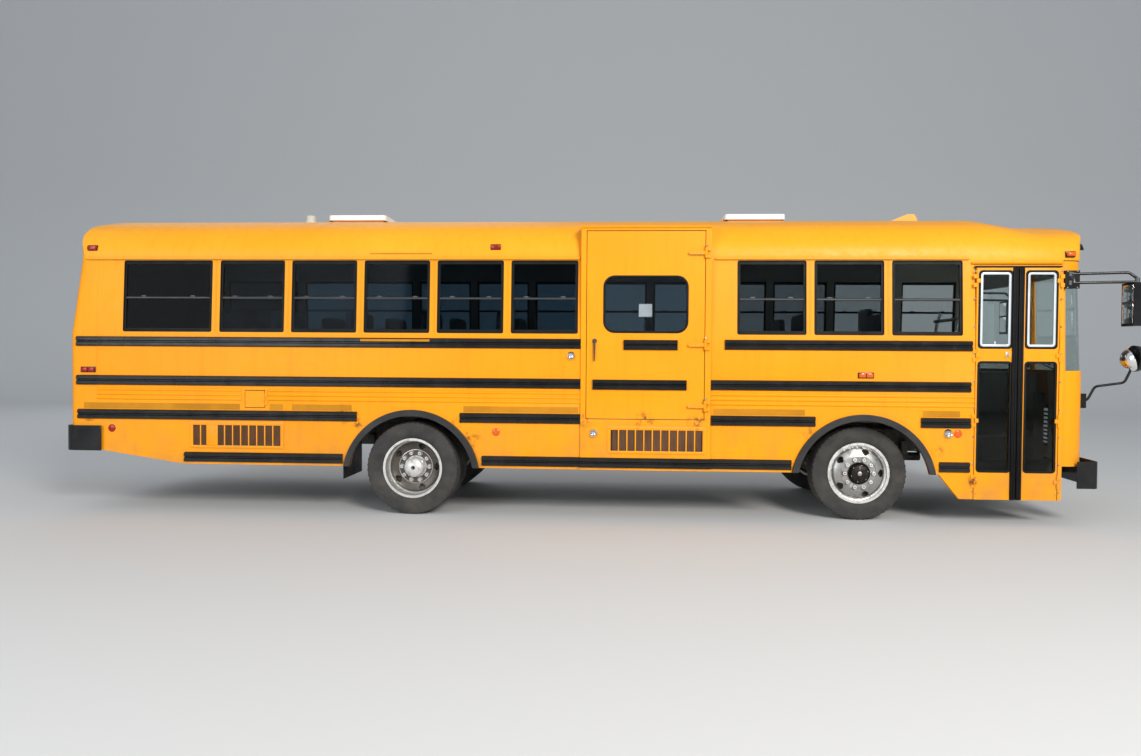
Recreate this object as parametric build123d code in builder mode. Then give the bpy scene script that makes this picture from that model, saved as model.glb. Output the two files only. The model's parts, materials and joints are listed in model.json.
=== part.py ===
"""A forward-control school bus with a curb-side entrance door and a wheelchair lift door.

+X is forward, +Y is the left (driver's) side, +Z is up, Z = 0 is the ground. All sizes are in
millimetres. A station is a distance forward of the rear axle.
"""
import os
from math import asin, cos, degrees, hypot, radians, sin, sqrt

from build123d import *

os.makedirs("parts", exist_ok=True)

# Driving dimensions of the chassis
wheelbase = 4400
tyre_radius = 460
tyre_width = 254
rim_radius = 286
dual_spacing = 312
front_tyre_recess = 140
rear_tyre_recess = 32
kingpin_offset = 118
frame_half_width = 430
frame_flange = 75
frame_web = 9
frame_bottom = 620
frame_depth = 230

# Driving dimensions of the body
body_width = 2440
rear_overhang = 3515
nose_station = 6490
nose_bulge = 60
nose_corner = 180
wall = 50
skirt_z = 478
floor_z = 1030
floor_thickness = 60
belt_z = 1775
sill_z = 1811
head_z = 2519
eave_z = 2530
tumblehome = 42
crown_z = 3050
crown_radius = 3000
eave_radius = 380
rear_lean = 90
rear_corner = 80
cap_joint_station = 5420
rear_cap_station = -3140
front_post_station = 6247
nose_inset = 24
nose_lean = 25
fascia_bottom = 570
windshield_z = (1480, 2420)
windshield_post = 28

# Driving dimensions of the openings
window_first = -1946
window_pitch = 734
window_width = 650
window_sash = 32
rear_window = (-2945, -2038)
lift_frame_stations = (1675, 2935)
lift_door_stations = (1733, 2872)
lift_door_z = (980, 2802)
lift_frame_top = 2856
lift_proud = 20
entrance_stations = (5438, 6205)
entrance_z = (245, 2452)
gap = 6
pin_gap = 0.3

# Reach of the whole bus, so that the origin lies under its middle
bumper_depth = 60
rear_reach = rear_overhang + bumper_depth
front_reach = 7060
rear_axle_x = (rear_reach - front_reach) / 2

half = body_width / 2
nose_half = half - nose_inset
roof_half = half - tumblehome
arch_radius = 688
arch_z = 358
flare_band = 62
flare_proud = 34
rail_height = 100
rail_proud = 26


def at(station):
    """X of a distance forward of the rear axle."""
    return rear_axle_x + station


rear_x = at(-rear_overhang)
front_axle_x = at(wheelbase)
pieces = {}


def box(x_range, y_range, z_range, mode=Mode.ADD):
    """A block between two values along each axis."""
    with Locations(((x_range[0] + x_range[1]) / 2, (y_range[0] + y_range[1]) / 2, (z_range[0] + z_range[1]) / 2)):
        Box(x_range[1] - x_range[0], y_range[1] - y_range[0], z_range[1] - z_range[0], mode=mode)


def stations(first, last):
    return at(first), at(last)


def roof_points(half_width, crown, eave, bend):
    """Joints and middles of a roof section's left eave arc: start, middle, end, and the eave's height."""
    eave_y = half_width - eave
    centre_z = crown - bend
    eave_centre_z = centre_z + sqrt((bend - eave) ** 2 - eave_y**2)
    lean = asin(eave_y / (bend - eave))
    middle = (radians(90) + lean) / 2
    start = (half_width, eave_centre_z)
    mid = (eave_y + eave * sin(middle), eave_centre_z + eave * cos(middle))
    end = (eave_y + eave * sin(lean), eave_centre_z + eave * cos(lean))
    return start, mid, end


def roof_section(half_width, crown, eave, bend, bottom):
    """A closed roof section above the eave line, of two eave arcs and one crown arc."""
    start, mid, end = roof_points(half_width, crown, eave, bend)
    with BuildLine() as outline:
        Line((-half_width, bottom), (half_width, bottom))
        Line((half_width, bottom), start)
        ThreePointArc(start, mid, end)
        ThreePointArc(end, (0, crown), (-end[0], end[1]))
        ThreePointArc((-end[0], end[1]), (-mid[0], mid[1]), (-start[0], start[1]))
        Line((-start[0], start[1]), (-half_width, bottom))
    make_face(outline.edges())


def roof_block(x_range, inset, bottom):
    """The roof's section between two values of X, drawn in by an inset all round."""
    with BuildSketch(Plane.YZ.offset(x_range[0])) as section:
        roof_section(roof_half - inset, crown_z - inset, eave_radius - inset, crown_radius - inset, bottom)
    extrude(section.sketch, amount=x_range[1] - x_range[0])


# Roof sheet, notched for the lift door's hood and cut for two hatches
hatch_stations = (-830, 3478)
hatch_size = 600
hatch_opening = 540
hood_inner_y = 985
with BuildPart() as roof:
    roof_block((at(rear_cap_station), at(cap_joint_station)), 0, eave_z)
    with BuildSketch(Plane.YZ.offset(at(rear_cap_station))):
        roof_section(roof_half - wall, crown_z - wall, eave_radius - wall, crown_radius - wall, eave_z)
    extrude(amount=cap_joint_station - rear_cap_station, mode=Mode.SUBTRACT)
    box(stations(*lift_frame_stations), (-half - wall, -hood_inner_y), (eave_z - 1, lift_frame_top + wall),
        Mode.SUBTRACT)
    for hatch_station in hatch_stations:
        with Locations((at(hatch_station), 0, crown_z - wall / 2)):
            Box(hatch_opening, hatch_opening, 3 * wall, mode=Mode.SUBTRACT)
pieces["roof"] = roof

# Rear cap: the roof's section cut to a rounded plan and a rounded side profile
rear_cap_back = -rear_overhang + rear_lean
rear_cap_round = 250


def rounded_end(top, end, joint_x, round_over, bottom):
    """A side profile from the joint to an end whose top is rounded over, cut across the whole width."""
    direction = 1 if end > joint_x else -1
    bevel = round_over * (1 - cos(radians(45)))
    with BuildSketch(Plane.XZ.offset(-half)) as profile:
        with BuildLine():
            Polyline((end - direction * round_over, top), (end - direction * round_over, crown_z), (joint_x, crown_z),
                     (joint_x, bottom), (end, bottom), (end, top - round_over))
            ThreePointArc((end, top - round_over), (end - direction * bevel, top - bevel),
                          (end - direction * round_over, top))
        make_face()
    extrude(profile.sketch, amount=body_width, mode=Mode.INTERSECT)


def rear_cap_block(inset, past=0):
    """The roof's section cut to the rear's rounded plan and rounded top, drawn in by an inset, with its open sides past
    the joint and the eave line."""
    end = at(rear_cap_back) + inset
    joint = at(rear_cap_station) + past
    roof_block((end, joint), inset, eave_z - past)
    with BuildSketch(Plane.XY.offset(eave_z - past - 1)) as plan:
        with Locations(((end + joint) / 2, 0)):
            Rectangle(joint - end, 2 * (roof_half - inset))
        fillet(plan.vertices().group_by(Axis.X)[0], rear_corner - inset)
    extrude(plan.sketch, amount=crown_z, mode=Mode.INTERSECT)
    rounded_end(crown_z - inset - 0.5, end, joint, rear_cap_round - inset, eave_z - past)


with BuildPart() as rear_cap_core:
    rear_cap_block(wall, wall)
with BuildPart() as rear_cap:
    rear_cap_block(0)
    add(rear_cap_core.part, mode=Mode.SUBTRACT)
pieces["rear_cap"] = rear_cap

# Front cap: a sloping length from the roof down to a lower brow, rounded in plan by the nose outline
brow_drop = 80
brow_stations = (5600, 6040)
cap_front_station = nose_station - nose_lean
front_cap_round = 260
plan_ease = 1  # the plan stands this far outside the section's side, so that it cuts the corners only


def nose_outline(back_x, front_x, half_width, corner, bulge, inset=0):
    """Plan of the nose: straight sides, round corners and a bowed front, open to the back."""
    side = half_width - inset
    radius = corner - inset
    nose_y = half_width - corner
    bow = asin(2 * bulge * nose_y / (nose_y**2 + bulge**2))
    bow_x = front_x - corner
    corner_end = (bow_x + radius * cos(bow), nose_y + radius * sin(bow))
    corner_mid_angle = (radians(90) + bow) / 2
    corner_mid = (bow_x + radius * cos(corner_mid_angle), nose_y + radius * sin(corner_mid_angle))
    tip = corner_end[0] + corner_end[1] * (1 - cos(bow)) / sin(bow)
    with BuildLine() as outline:
        Line((back_x, -side), (bow_x, -side))
        ThreePointArc((bow_x, -side), (corner_mid[0], -corner_mid[1]), (corner_end[0], -corner_end[1]))
        ThreePointArc((corner_end[0], -corner_end[1]), (tip, 0), corner_end)
        ThreePointArc(corner_end, corner_mid, (bow_x, side))
        Line((bow_x, side), (back_x, side))
        Line((back_x, side), (back_x, -side))
    make_face(outline.edges())


def front_cap_block(inset, past=0):
    """The front cap's length of full section, its slope and its brow, drawn in by an inset, with its open sides past
    the joint and the eave line."""
    levels = ((cap_joint_station - past, 0), (brow_stations[0], 0), (brow_stations[1], brow_drop),
              (cap_front_station + nose_bulge, brow_drop))
    for (first, first_drop), (last, last_drop) in zip(levels, levels[1:]):
        faces = []
        for station, drop in ((first, first_drop), (last, last_drop)):
            with BuildSketch(Plane.YZ.offset(at(station))) as section:
                roof_section(roof_half - inset, crown_z - drop - inset, eave_radius - 1.35 * drop - inset,
                             crown_radius - inset, eave_z - past)
            faces.append(section.sketch)
        if first_drop == last_drop:
            extrude(faces[0], amount=last - first)
        else:
            loft(faces, ruled=True)
    with BuildSketch(Plane.XY.offset(eave_z - past - 1)) as plan:
        nose_outline(at(cap_joint_station) - past - 1, at(cap_front_station), roof_half + plan_ease, nose_corner,
                     nose_bulge, inset)
    extrude(plan.sketch, amount=crown_z, mode=Mode.INTERSECT)
    rounded_end(crown_z - brow_drop - inset - 0.5, at(cap_front_station) + nose_bulge - inset,
                at(cap_joint_station) - past, front_cap_round - inset, eave_z - past)


with BuildPart() as front_cap_core:
    front_cap_block(wall, wall)
with BuildPart() as front_cap:
    front_cap_block(0)
    add(front_cap_core.part, mode=Mode.SUBTRACT)
pieces["front_cap"] = front_cap

# Side walls, drawn as their section and cut through for windows, arches and doors
bead_levels = (1118, 1163, 1208)
bead_height = 34
bead_proud = 9
step_skirt_z = 247
step_skirt_stations = (5112, 5300, 5430)
fuel_door_stations = (-1690, -1482)
fuel_door_z = (1048, 1226)
grille_z = (640, 912)
grille_openings = ((-2225, -1318), (1968, 2868))


def wall_section(side):
    """Section of a side wall on the right (-1) or left (1), with its tumblehome above the belt."""
    corners = [(half, skirt_z), (half, belt_z), (roof_half, eave_z), (roof_half - wall, eave_z),
               (half - wall, belt_z), (half - wall, skirt_z)]
    with BuildLine() as outline:
        Polyline(*[(side * y, z) for y, z in corners], close=True)
    make_face(outline.edges())


def wall_length(side, first, last):
    with BuildSketch(Plane.YZ.offset(at(first))) as section:
        wall_section(side)
    extrude(section.sketch, amount=last - first)


def side_cut(side, amount=2 * wall):
    """Cuts the sketch just drawn on a plane beside the body through the wall."""
    extrude(amount=amount, both=True, mode=Mode.SUBTRACT)


def side_plane(side):
    return Plane.XZ.offset(-side * half)


def cut_arch(side, axle_x):
    with BuildSketch(side_plane(side)) as opening:
        with Locations((axle_x, arch_z)):
            Circle(arch_radius - flare_band + 12)
    extrude(opening.sketch, amount=2 * wall, both=True, mode=Mode.SUBTRACT)


def cut_rect(side, first, last, z_range):
    box((at(first), at(last)), sorted((side * (half - 4 * wall), side * (half + 2 * wall))), z_range, Mode.SUBTRACT)


def add_beads(side, first, last):
    """Three pressed beads that stand proud of the wall."""
    for level in bead_levels:
        with BuildSketch(Plane.YZ.offset(at(first))) as bead:
            with BuildLine():
                Polyline((side * (half - 1), level), (side * (half + bead_proud), level + 10),
                         (side * (half + bead_proud), level + bead_height - 10),
                         (side * (half - 1), level + bead_height), close=True)
            make_face()
        extrude(bead.sketch, amount=last - first)


window_stations = [window_first + window_pitch * k for k in range(10)]
wall_start = -rear_overhang + 290
right_rear_windows = [rear_window] + [(s, s + window_width) for s in window_stations[:5]]
right_front_windows = [(s, s + window_width) for s in window_stations[7:]]
left_windows = [rear_window] + [(s, s + window_width) for s in window_stations]
driver_window = (5470, 6120)

with BuildPart() as side_wall_right_rear:
    wall_length(-1, wall_start, lift_frame_stations[0])
    add_beads(-1, wall_start + 10, fuel_door_stations[0] - 30)
    add_beads(-1, fuel_door_stations[1] + 30, lift_frame_stations[0])
    for first, last in right_rear_windows:
        cut_rect(-1, first, last, (sill_z, head_z))
    cut_arch(-1, at(0))
    cut_rect(-1, *fuel_door_stations, fuel_door_z)
    cut_rect(-1, *grille_openings[0], (grille_z[0] + 20, grille_z[1] - 20))
    with BuildSketch(side_plane(-1)):
        with BuildLine():
            Polyline((at(wall_start) - 1, skirt_z - 1), (at(-2308), skirt_z - 1), (at(-3162), 605),
                     (at(wall_start) - 1, 632), close=True)
        make_face()
    side_cut(-1)

with BuildPart() as side_wall_right_front:
    wall_length(-1, lift_frame_stations[1], front_post_station)
    add_beads(-1, lift_frame_stations[1], step_skirt_stations[2])
    with BuildSketch(side_plane(-1)):
        with BuildLine():
            Polyline((at(step_skirt_stations[0]), skirt_z), (at(step_skirt_stations[1]), step_skirt_z),
                     (at(step_skirt_stations[2]), step_skirt_z), (at(step_skirt_stations[2]), skirt_z), close=True)
        make_face()
    extrude(amount=-wall)
    for first, last in right_front_windows:
        cut_rect(-1, first, last, (sill_z, head_z))
    cut_arch(-1, front_axle_x)
    box(stations(entrance_stations[1] + gap, front_post_station), (-half, -half + wall), (step_skirt_z, skirt_z + 1))
    cut_rect(-1, step_skirt_stations[2], entrance_stations[1] + gap, (skirt_z - 1, entrance_z[1] + gap))
with BuildPart() as side_wall_right:
    add(side_wall_right_rear.part)
    add(side_wall_right_front.part)
pieces["side_wall_right"] = side_wall_right

with BuildPart() as side_wall_left:
    wall_length(1, wall_start, front_post_station)
    add_beads(1, wall_start + 10, step_skirt_stations[2])
    for first, last in left_windows + [driver_window]:
        cut_rect(1, first, last, (sill_z, head_z))
    cut_arch(1, at(0))
    cut_arch(1, front_axle_x)
    with BuildSketch(side_plane(1)):
        with BuildLine():
            Polyline((at(wall_start) - 1, skirt_z - 1), (at(-2308), skirt_z - 1), (at(-3162), 605),
                     (at(wall_start) - 1, 632), close=True)
        make_face()
    side_cut(1)
pieces["side_wall_left"] = side_wall_left

# Lift door frame: posts, sill panel and a hood that stands out of the roof's curve
with BuildPart() as lift_frame:
    box(stations(*lift_frame_stations), (-half - lift_proud, -half + wall - 10), (skirt_z, lift_frame_top - 2))
    with BuildSketch(Plane.YZ.offset(at(lift_frame_stations[0]))):
        with BuildLine():
            Polyline((-half, eave_z - 60), (-half - lift_proud, lift_frame_top - 30), (-half - lift_proud, lift_frame_top),
                     (-hood_inner_y, lift_frame_top + 22), (-hood_inner_y, lift_frame_top - 30),
                     (-roof_half + wall, eave_z - 60), close=True)
        make_face()
    extrude(amount=lift_frame_stations[1] - lift_frame_stations[0])
    box(stations(lift_door_stations[0] - gap, lift_door_stations[1] + gap), (-half - wall, 0),
        (lift_door_z[0] - gap, lift_door_z[1] + gap), Mode.SUBTRACT)
    box(stations(*grille_openings[1]), (-half - wall, 0), (grille_z[0] + 5, grille_z[1] - 30), Mode.SUBTRACT)
pieces["lift_frame"] = lift_frame

def rail_bar(x_range, face_y, side, bottom):
    """One rail along X: a strip with two ridges, standing on a face."""
    corners = [(0, 0), (12, 3), (rail_proud, 12), (rail_proud, 38), (13, 46), (13, 54), (rail_proud, 62),
               (rail_proud, 88), (12, rail_height - 3), (0, rail_height)]
    with BuildSketch(Plane.YZ.offset(x_range[0])) as section:
        with BuildLine():
            Polyline(*[(face_y + side * out, bottom + up) for out, up in corners], close=True)
        make_face()
    extrude(section.sketch, amount=x_range[1] - x_range[0])


def fixed_knuckles(axis, level, half_height, radius, plate_x, plate_y):
    """A pin, its two end knuckles and their plates, for an upright hinge."""
    with Locations((axis[0], axis[1], level)):
        Cylinder(radius, 2 * half_height + 1)
    knuckle = half_height / 3 - 1
    for end in (-1, 1):
        middle = level + end * (half_height - knuckle)
        with Locations((axis[0], axis[1], middle)):
            Cylinder(1.8 * radius, 2 * knuckle)
        box(plate_x, plate_y, (middle - knuckle, middle + knuckle))


def moving_knuckle(axis, level, half_height, radius, plate_x, plate_y):
    """The middle knuckle and its plate, bored to turn on the pin."""
    knuckle = half_height / 3 - 1
    with Locations((axis[0], axis[1], level)):
        Cylinder(1.8 * radius, 2 * knuckle)
    box(plate_x, plate_y, (level - knuckle, level + knuckle))
    with Locations((axis[0], axis[1], level)):
        Cylinder(radius + pin_gap, 4 * knuckle, mode=Mode.SUBTRACT)


# Lift door, hinged at its front edge on three outside strap hinges
lift_hinge = (at(lift_door_stations[1]) + 8, -half - lift_proud - 24)
lift_hinge_levels = (1112, 1704, 2592)
lift_window_stations = (1906, 2702)
lift_window_z = (1829, 2360)
lift_door_thickness = 40
hinge_pin = 8
with BuildPart() as lift_door:
    box(stations(*lift_door_stations), (-half - lift_proud, -half - lift_proud + lift_door_thickness), lift_door_z)
    with BuildSketch(side_plane(-1)):
        with Locations((at(sum(lift_window_stations) / 2), sum(lift_window_z) / 2)):
            RectangleRounded(lift_window_stations[1] - lift_window_stations[0], lift_window_z[1] - lift_window_z[0], 95)
    side_cut(-1)
    rail_bar(stations(2096, 2610), -half - lift_proud, -1, 1650)
    rail_bar(stations(1797, 2700), -half - lift_proud, -1, 1262)
    for level in lift_hinge_levels:
        box((lift_hinge[0] - 150, lift_hinge[0] - 6), (-half - lift_proud - 30, -half - lift_proud),
            (level - 18, level + 18))
        with Locations((lift_hinge[0], lift_hinge[1], level)):
            Cylinder(hinge_pin + 6, 36)
    for level in lift_hinge_levels:
        with Locations((lift_hinge[0], lift_hinge[1], level)):
            Cylinder(hinge_pin + pin_gap, 60, mode=Mode.SUBTRACT)
pieces["lift_door"] = lift_door

with BuildPart() as lift_hinge_pins:
    for level in lift_hinge_levels:
        with Locations((lift_hinge[0], lift_hinge[1], level)):
            Cylinder(hinge_pin, 96)
        for end in (-1, 1):
            with Locations((lift_hinge[0], lift_hinge[1], level + end * (18 + 1 + 15))):
                Cylinder(hinge_pin + 6, 30)
            box((lift_hinge[0], lift_hinge[0] + 46), (lift_hinge[1], -half - lift_proud),
                (level + end * 34 - 15, level + end * 34 + 15))

with BuildPart() as lift_door_glass:
    with BuildSketch(Plane.XZ.offset(half + lift_proud - 12)):
        with Locations((at(sum(lift_window_stations) / 2), sum(lift_window_z) / 2)):
            RectangleRounded(lift_window_stations[1] - lift_window_stations[0], lift_window_z[1] - lift_window_z[0], 95)
    extrude(amount=6)
pieces["lift_door_glass"] = lift_door_glass

# Rear wall with its round corners, leaning forward above the belt
rear_door_half = 330
rear_door_z = (1045, 2490)
latch_gap = 15
rear_window_y = (430, 1060)
rear_window_z = (1830, 2360)


def rear_block(inset):
    """The back of the body, up to the joint with the side walls, drawn in by an inset."""
    levels = ((600, 0, 0), (belt_z, 0, 0), (eave_z, rear_lean, tumblehome))
    for low, high in zip(levels, levels[1:]):
        faces = []
        for z, lean, tumble in (low, high):
            back = rear_x + lean + inset
            front = at(wall_start)
            side = half - tumble - inset
            with BuildSketch(Plane.XY.offset(z)) as plan:
                with Locations(((back + front) / 2, 0)):
                    Rectangle(front - back, 2 * side)
                fillet(plan.vertices().group_by(Axis.X)[0], rear_corner - inset)
            faces.append(plan.sketch)
        loft(faces)


with BuildPart() as rear_core:
    rear_block(wall)
with BuildPart() as rear_wall:
    rear_block(0)
    add(rear_core.part, mode=Mode.SUBTRACT)
    box((rear_x - 50, rear_x + 300), (-rear_door_half - gap, rear_door_half + latch_gap),
        (rear_door_z[0] - gap, rear_door_z[1] + gap), Mode.SUBTRACT)
    for side in (-1, 1):
        box((rear_x - 50, rear_x + 150), sorted((side * rear_window_y[0], side * rear_window_y[1])), rear_window_z,
            Mode.SUBTRACT)
pieces["rear_wall"] = rear_wall

# Rear emergency door, following the wall's lean, hinged on the right
rear_hinge = (rear_x - 22, -rear_door_half - 2)
rear_hinge_levels = (1130, 1440, 1730)
rear_door_windows = ((1210, 1640), (1830, 2380))
with BuildPart() as rear_door:
    with BuildSketch(Plane.XZ.offset(-rear_door_half)):
        lean_top = rear_lean * (rear_door_z[1] - belt_z) / (eave_z - belt_z)
        with BuildLine():
            Polyline((rear_x, rear_door_z[0]), (rear_x, belt_z), (rear_x + lean_top, rear_door_z[1]),
                     (rear_x + lean_top + wall - 10, rear_door_z[1]), (rear_x + wall - 10, belt_z),
                     (rear_x + wall - 10, rear_door_z[0]), close=True)
        make_face()
    extrude(amount=2 * rear_door_half)
    for window_z in rear_door_windows:
        box((rear_x - 50, rear_x + 200), (-rear_door_half + 70, rear_door_half - 70), window_z, Mode.SUBTRACT)
    for level in rear_hinge_levels:
        moving_knuckle(rear_hinge, level, 60, 6, (rear_x - 22, rear_x + 1), (-rear_door_half + 4, -rear_door_half + 40))
        box((rear_x - 27, rear_x - 17), (rear_hinge[1] + 6.6, -rear_door_half + 5), (level - 19, level + 19))
pieces["rear_door"] = rear_door

with BuildPart() as rear_hinge_pins:
    for level in rear_hinge_levels:
        fixed_knuckles(rear_hinge, level, 60, 6, (rear_x - 22, rear_x), (rear_hinge[1] - 34, rear_hinge[1] - 4))

# Nose: lower fascia, windshield frame and posts
head_lamp_y = (560, 760)
head_lamp_radius = 85
with BuildPart() as front_fascia:
    for inset, mode in ((0, Mode.ADD), (wall, Mode.SUBTRACT)):
        with BuildSketch(Plane.XY.offset(fascia_bottom)):
            nose_outline(at(front_post_station), at(nose_station), nose_half, nose_corner, nose_bulge, inset)
        extrude(amount=windshield_z[0] - 30 - fascia_bottom, mode=mode)
        for z, lean, tumble in ((windshield_z[0] - 30, 0, 0), (eave_z, nose_lean, tumblehome)):
            with BuildSketch(Plane.XY.offset(z)):
                nose_outline(at(front_post_station), at(nose_station) - lean, nose_half - tumble, nose_corner,
                             nose_bulge, inset)
        loft(mode=mode)
    box((at(front_post_station) + windshield_post, at(nose_station + 200)), (16, half + 50), windshield_z, Mode.SUBTRACT)
    box((at(front_post_station) + windshield_post, at(nose_station + 200)), (-half - 50, -16), windshield_z, Mode.SUBTRACT)
    box((at(nose_station - 200), at(nose_station + 200)), (-430, 430), (680, 1120), Mode.SUBTRACT)
    for side in (-1, 1):
        for lamp_y in head_lamp_y:
            with Locations(Location((at(nose_station), side * lamp_y, 900), (0, 90, 0))):
                Cylinder(head_lamp_radius + pin_gap, 300, mode=Mode.SUBTRACT)
pieces["front_fascia"] = front_fascia

# Windshield halves, set back inside the frame
with BuildPart() as windshield:
    for inset, mode in ((12, Mode.ADD), (20, Mode.SUBTRACT)):
        for z, lean, tumble in ((windshield_z[0] - 30, 0, 0), (eave_z, nose_lean, tumblehome)):
            with BuildSketch(Plane.XY.offset(z)):
                nose_outline(at(front_post_station), at(nose_station) - lean, nose_half - tumble, nose_corner,
                             nose_bulge, inset)
        loft(mode=mode)
    with BuildSketch(Plane.XY.offset(windshield_z[0])):
        for side in (-1, 1):
            with Locations((at(front_post_station) + windshield_post + 400, side * (16 + 700))):
                Rectangle(800, 1400)
    extrude(amount=windshield_z[1] - windshield_z[0], mode=Mode.INTERSECT)
pieces["windshield"] = windshield

# Front grille: a framed panel of level bars
with BuildPart() as front_grille:
    box((at(nose_station) + 12, at(nose_station) + 47), (-429.7, 429.7), (680.3, 1119.7))
    box((at(nose_station), at(nose_station) + 60), (-390, 390), (720, 1080), Mode.SUBTRACT)
    for row in range(8):
        box((at(nose_station) + 16, at(nose_station) + 40), (-391, 391), (738 + 42 * row, 756 + 42 * row))
pieces["front_grille"] = front_grille

# Entrance door: two leaves hinged at their outer edges, meeting on rubber seals
door_face_y = -half + 4
door_thickness = 36
seal_width = 46
leaf_meeting = (entrance_stations[0] + entrance_stations[1]) / 2
leaf_glass_z = ((523, 1548), (1703, 2411))
leaf_hinge_y = -half - 6
meeting_gap = 5
entrance_hinge_levels = (420, 1000, 1620, 2330)


def entrance_leaf(outer, inner):
    """A leaf's frame from its hinge edge to its seal, with an upper and a lower window cut."""
    first, last = sorted((outer, inner))
    box((first, last), (door_face_y, door_face_y + door_thickness), entrance_z)
    for window_z in leaf_glass_z:
        box((first + 34, last - 14 if inner > outer else last - 34), (door_face_y - 50, door_face_y + 100), window_z,
            Mode.SUBTRACT)


leaves = (
    ("rear", at(entrance_stations[0]), at(leaf_meeting) - meeting_gap, 1),
    ("front", at(entrance_stations[1]), at(leaf_meeting) + meeting_gap, -1),
)
for leaf_name, outer, meeting, inward in leaves:
    inner = meeting - inward * seal_width
    with BuildPart() as leaf:
        entrance_leaf(outer, inner)
        box(sorted((inner, meeting)), (door_face_y - 8, door_face_y + door_thickness), entrance_z)
        for level in entrance_hinge_levels:
            moving_knuckle((outer, leaf_hinge_y), level, 60, 3.2, sorted((outer + inward * 3, outer + inward * 30)),
                           (leaf_hinge_y - 2, door_face_y + 1))
    pieces[f"entrance_leaf_{leaf_name}"] = leaf
    with BuildPart() as leaf_glass:
        for window_z in leaf_glass_z:
            first, last = sorted((outer, inner))
            box((first + 34, last - 14 if inner > outer else last - 34), (door_face_y + 14, door_face_y + 20), window_z)
    pieces[f"entrance_glass_{leaf_name}"] = leaf_glass

# Side windows: black frames with a mid bar, and their dark panes
window_depth = 24


def window_y(side, z):
    """Outer face of the wall at a height, with the tumblehome."""
    return side * (half - tumblehome * max(0, z - belt_z) / (eave_z - belt_z))


def window_panel(side, first, last, z_range, depth, thickness, mode=Mode.ADD):
    """A flat panel parallel to the leaning wall, set in by a depth."""
    low, high = z_range
    corners = [(window_y(side, low) - side * depth, low), (window_y(side, high) - side * depth, high),
               (window_y(side, high) - side * (depth + thickness), high),
               (window_y(side, low) - side * (depth + thickness), low)]
    with BuildSketch(Plane.YZ.offset(at(first))) as section:
        with BuildLine():
            Polyline(*corners, close=True)
        make_face()
    extrude(section.sketch, amount=last - first, mode=mode)


mid_bar_z = 2150
window_lists = ((-1, right_rear_windows + right_front_windows), (1, left_windows + [driver_window]))
with BuildPart() as window_frames:
    for side, openings in window_lists:
        for first, last in openings:
            window_panel(side, first, last, (sill_z, head_z), 6, window_depth)
            for pane in ((sill_z + window_sash, mid_bar_z - 12), (mid_bar_z + 12, head_z - window_sash)):
                window_panel(side, first + window_sash * 0.7, last - window_sash * 0.7, pane, -10, 60, Mode.SUBTRACT)
pieces["window_frames"] = window_frames
with BuildPart() as window_panes:
    for side, openings in window_lists:
        for first, last in openings:
            for pane in ((sill_z + window_sash, mid_bar_z - 12), (mid_bar_z + 12, head_z - window_sash)):
                window_panel(side, first + window_sash * 0.7, last - window_sash * 0.7, pane, 14, 5)
    for side in (-1, 1):
        with BuildSketch(Plane.XZ.offset(-side * rear_window_y[0])):
            low = rear_lean * (rear_window_z[0] - belt_z) / (eave_z - belt_z)
            high = rear_lean * (rear_window_z[1] - belt_z) / (eave_z - belt_z)
            with BuildLine():
                Polyline((rear_x + low + 16, rear_window_z[0]), (rear_x + high + 16, rear_window_z[1]),
                         (rear_x + high + 22, rear_window_z[1]), (rear_x + low + 22, rear_window_z[0]), close=True)
            make_face()
        extrude(amount=-side * (rear_window_y[1] - rear_window_y[0]))
pieces["window_panes"] = window_panes

# Floor deck with cross sills, and the entrance steps
engine_hole = ((5290, 6330), (-390, 390))
step_levels = (360, 583, 806)
step_edges = (-half + wall + 2, -955, -740, -525)
sheet = 20
sill_bars = (-2950, -2250, -1500, -760, 760, 1500, 2250, 3000, 3650)
with BuildPart() as floor:
    box((rear_x + wall, at(entrance_stations[0])), (-half + wall, half - wall), (floor_z - floor_thickness, floor_z))
    box((at(entrance_stations[0]) - 1, at(front_post_station)), (step_edges[3], half - wall),
        (floor_z - floor_thickness, floor_z))
    box((at(front_post_station) - 1, at(nose_station) - wall - 130), (step_edges[3], nose_half - wall),
        (floor_z - floor_thickness, floor_z))
    box(stations(*engine_hole[0]), engine_hole[1], (0, floor_z + 1), Mode.SUBTRACT)
    fillet(floor.edges().filter_by(Axis.Z).group_by(Axis.X)[0], rear_corner - wall + 1)
    for bar in sill_bars:
        box((at(bar) - 30, at(bar) + 30), (-half + wall, half - wall),
            (frame_bottom + frame_depth, floor_z - floor_thickness + 1))
pieces["floor"] = floor

step_rises = step_levels[1:] + (floor_z - floor_thickness,)
step_top = [(step_edges[0], step_levels[0])]
step_under = [(step_edges[0], step_levels[0] - sheet)]
for edge, level, rise in zip(step_edges[1:], step_levels, step_rises):
    step_top += [(edge, level), (edge, rise)]
    step_under += [(edge + sheet, level - sheet), (edge + sheet, rise - sheet)]
step_under[-1] = (step_edges[-1] + sheet, step_rises[-1])
with BuildPart() as entrance_steps:
    with BuildSketch(Plane.YZ.offset(at(entrance_stations[0]) + 4)):
        with BuildLine():
            Polyline(*step_top, *reversed(step_under), close=True)
        make_face()
    extrude(amount=entrance_stations[1] - entrance_stations[0] - 8)
pieces["entrance_steps"] = entrance_steps

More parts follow.
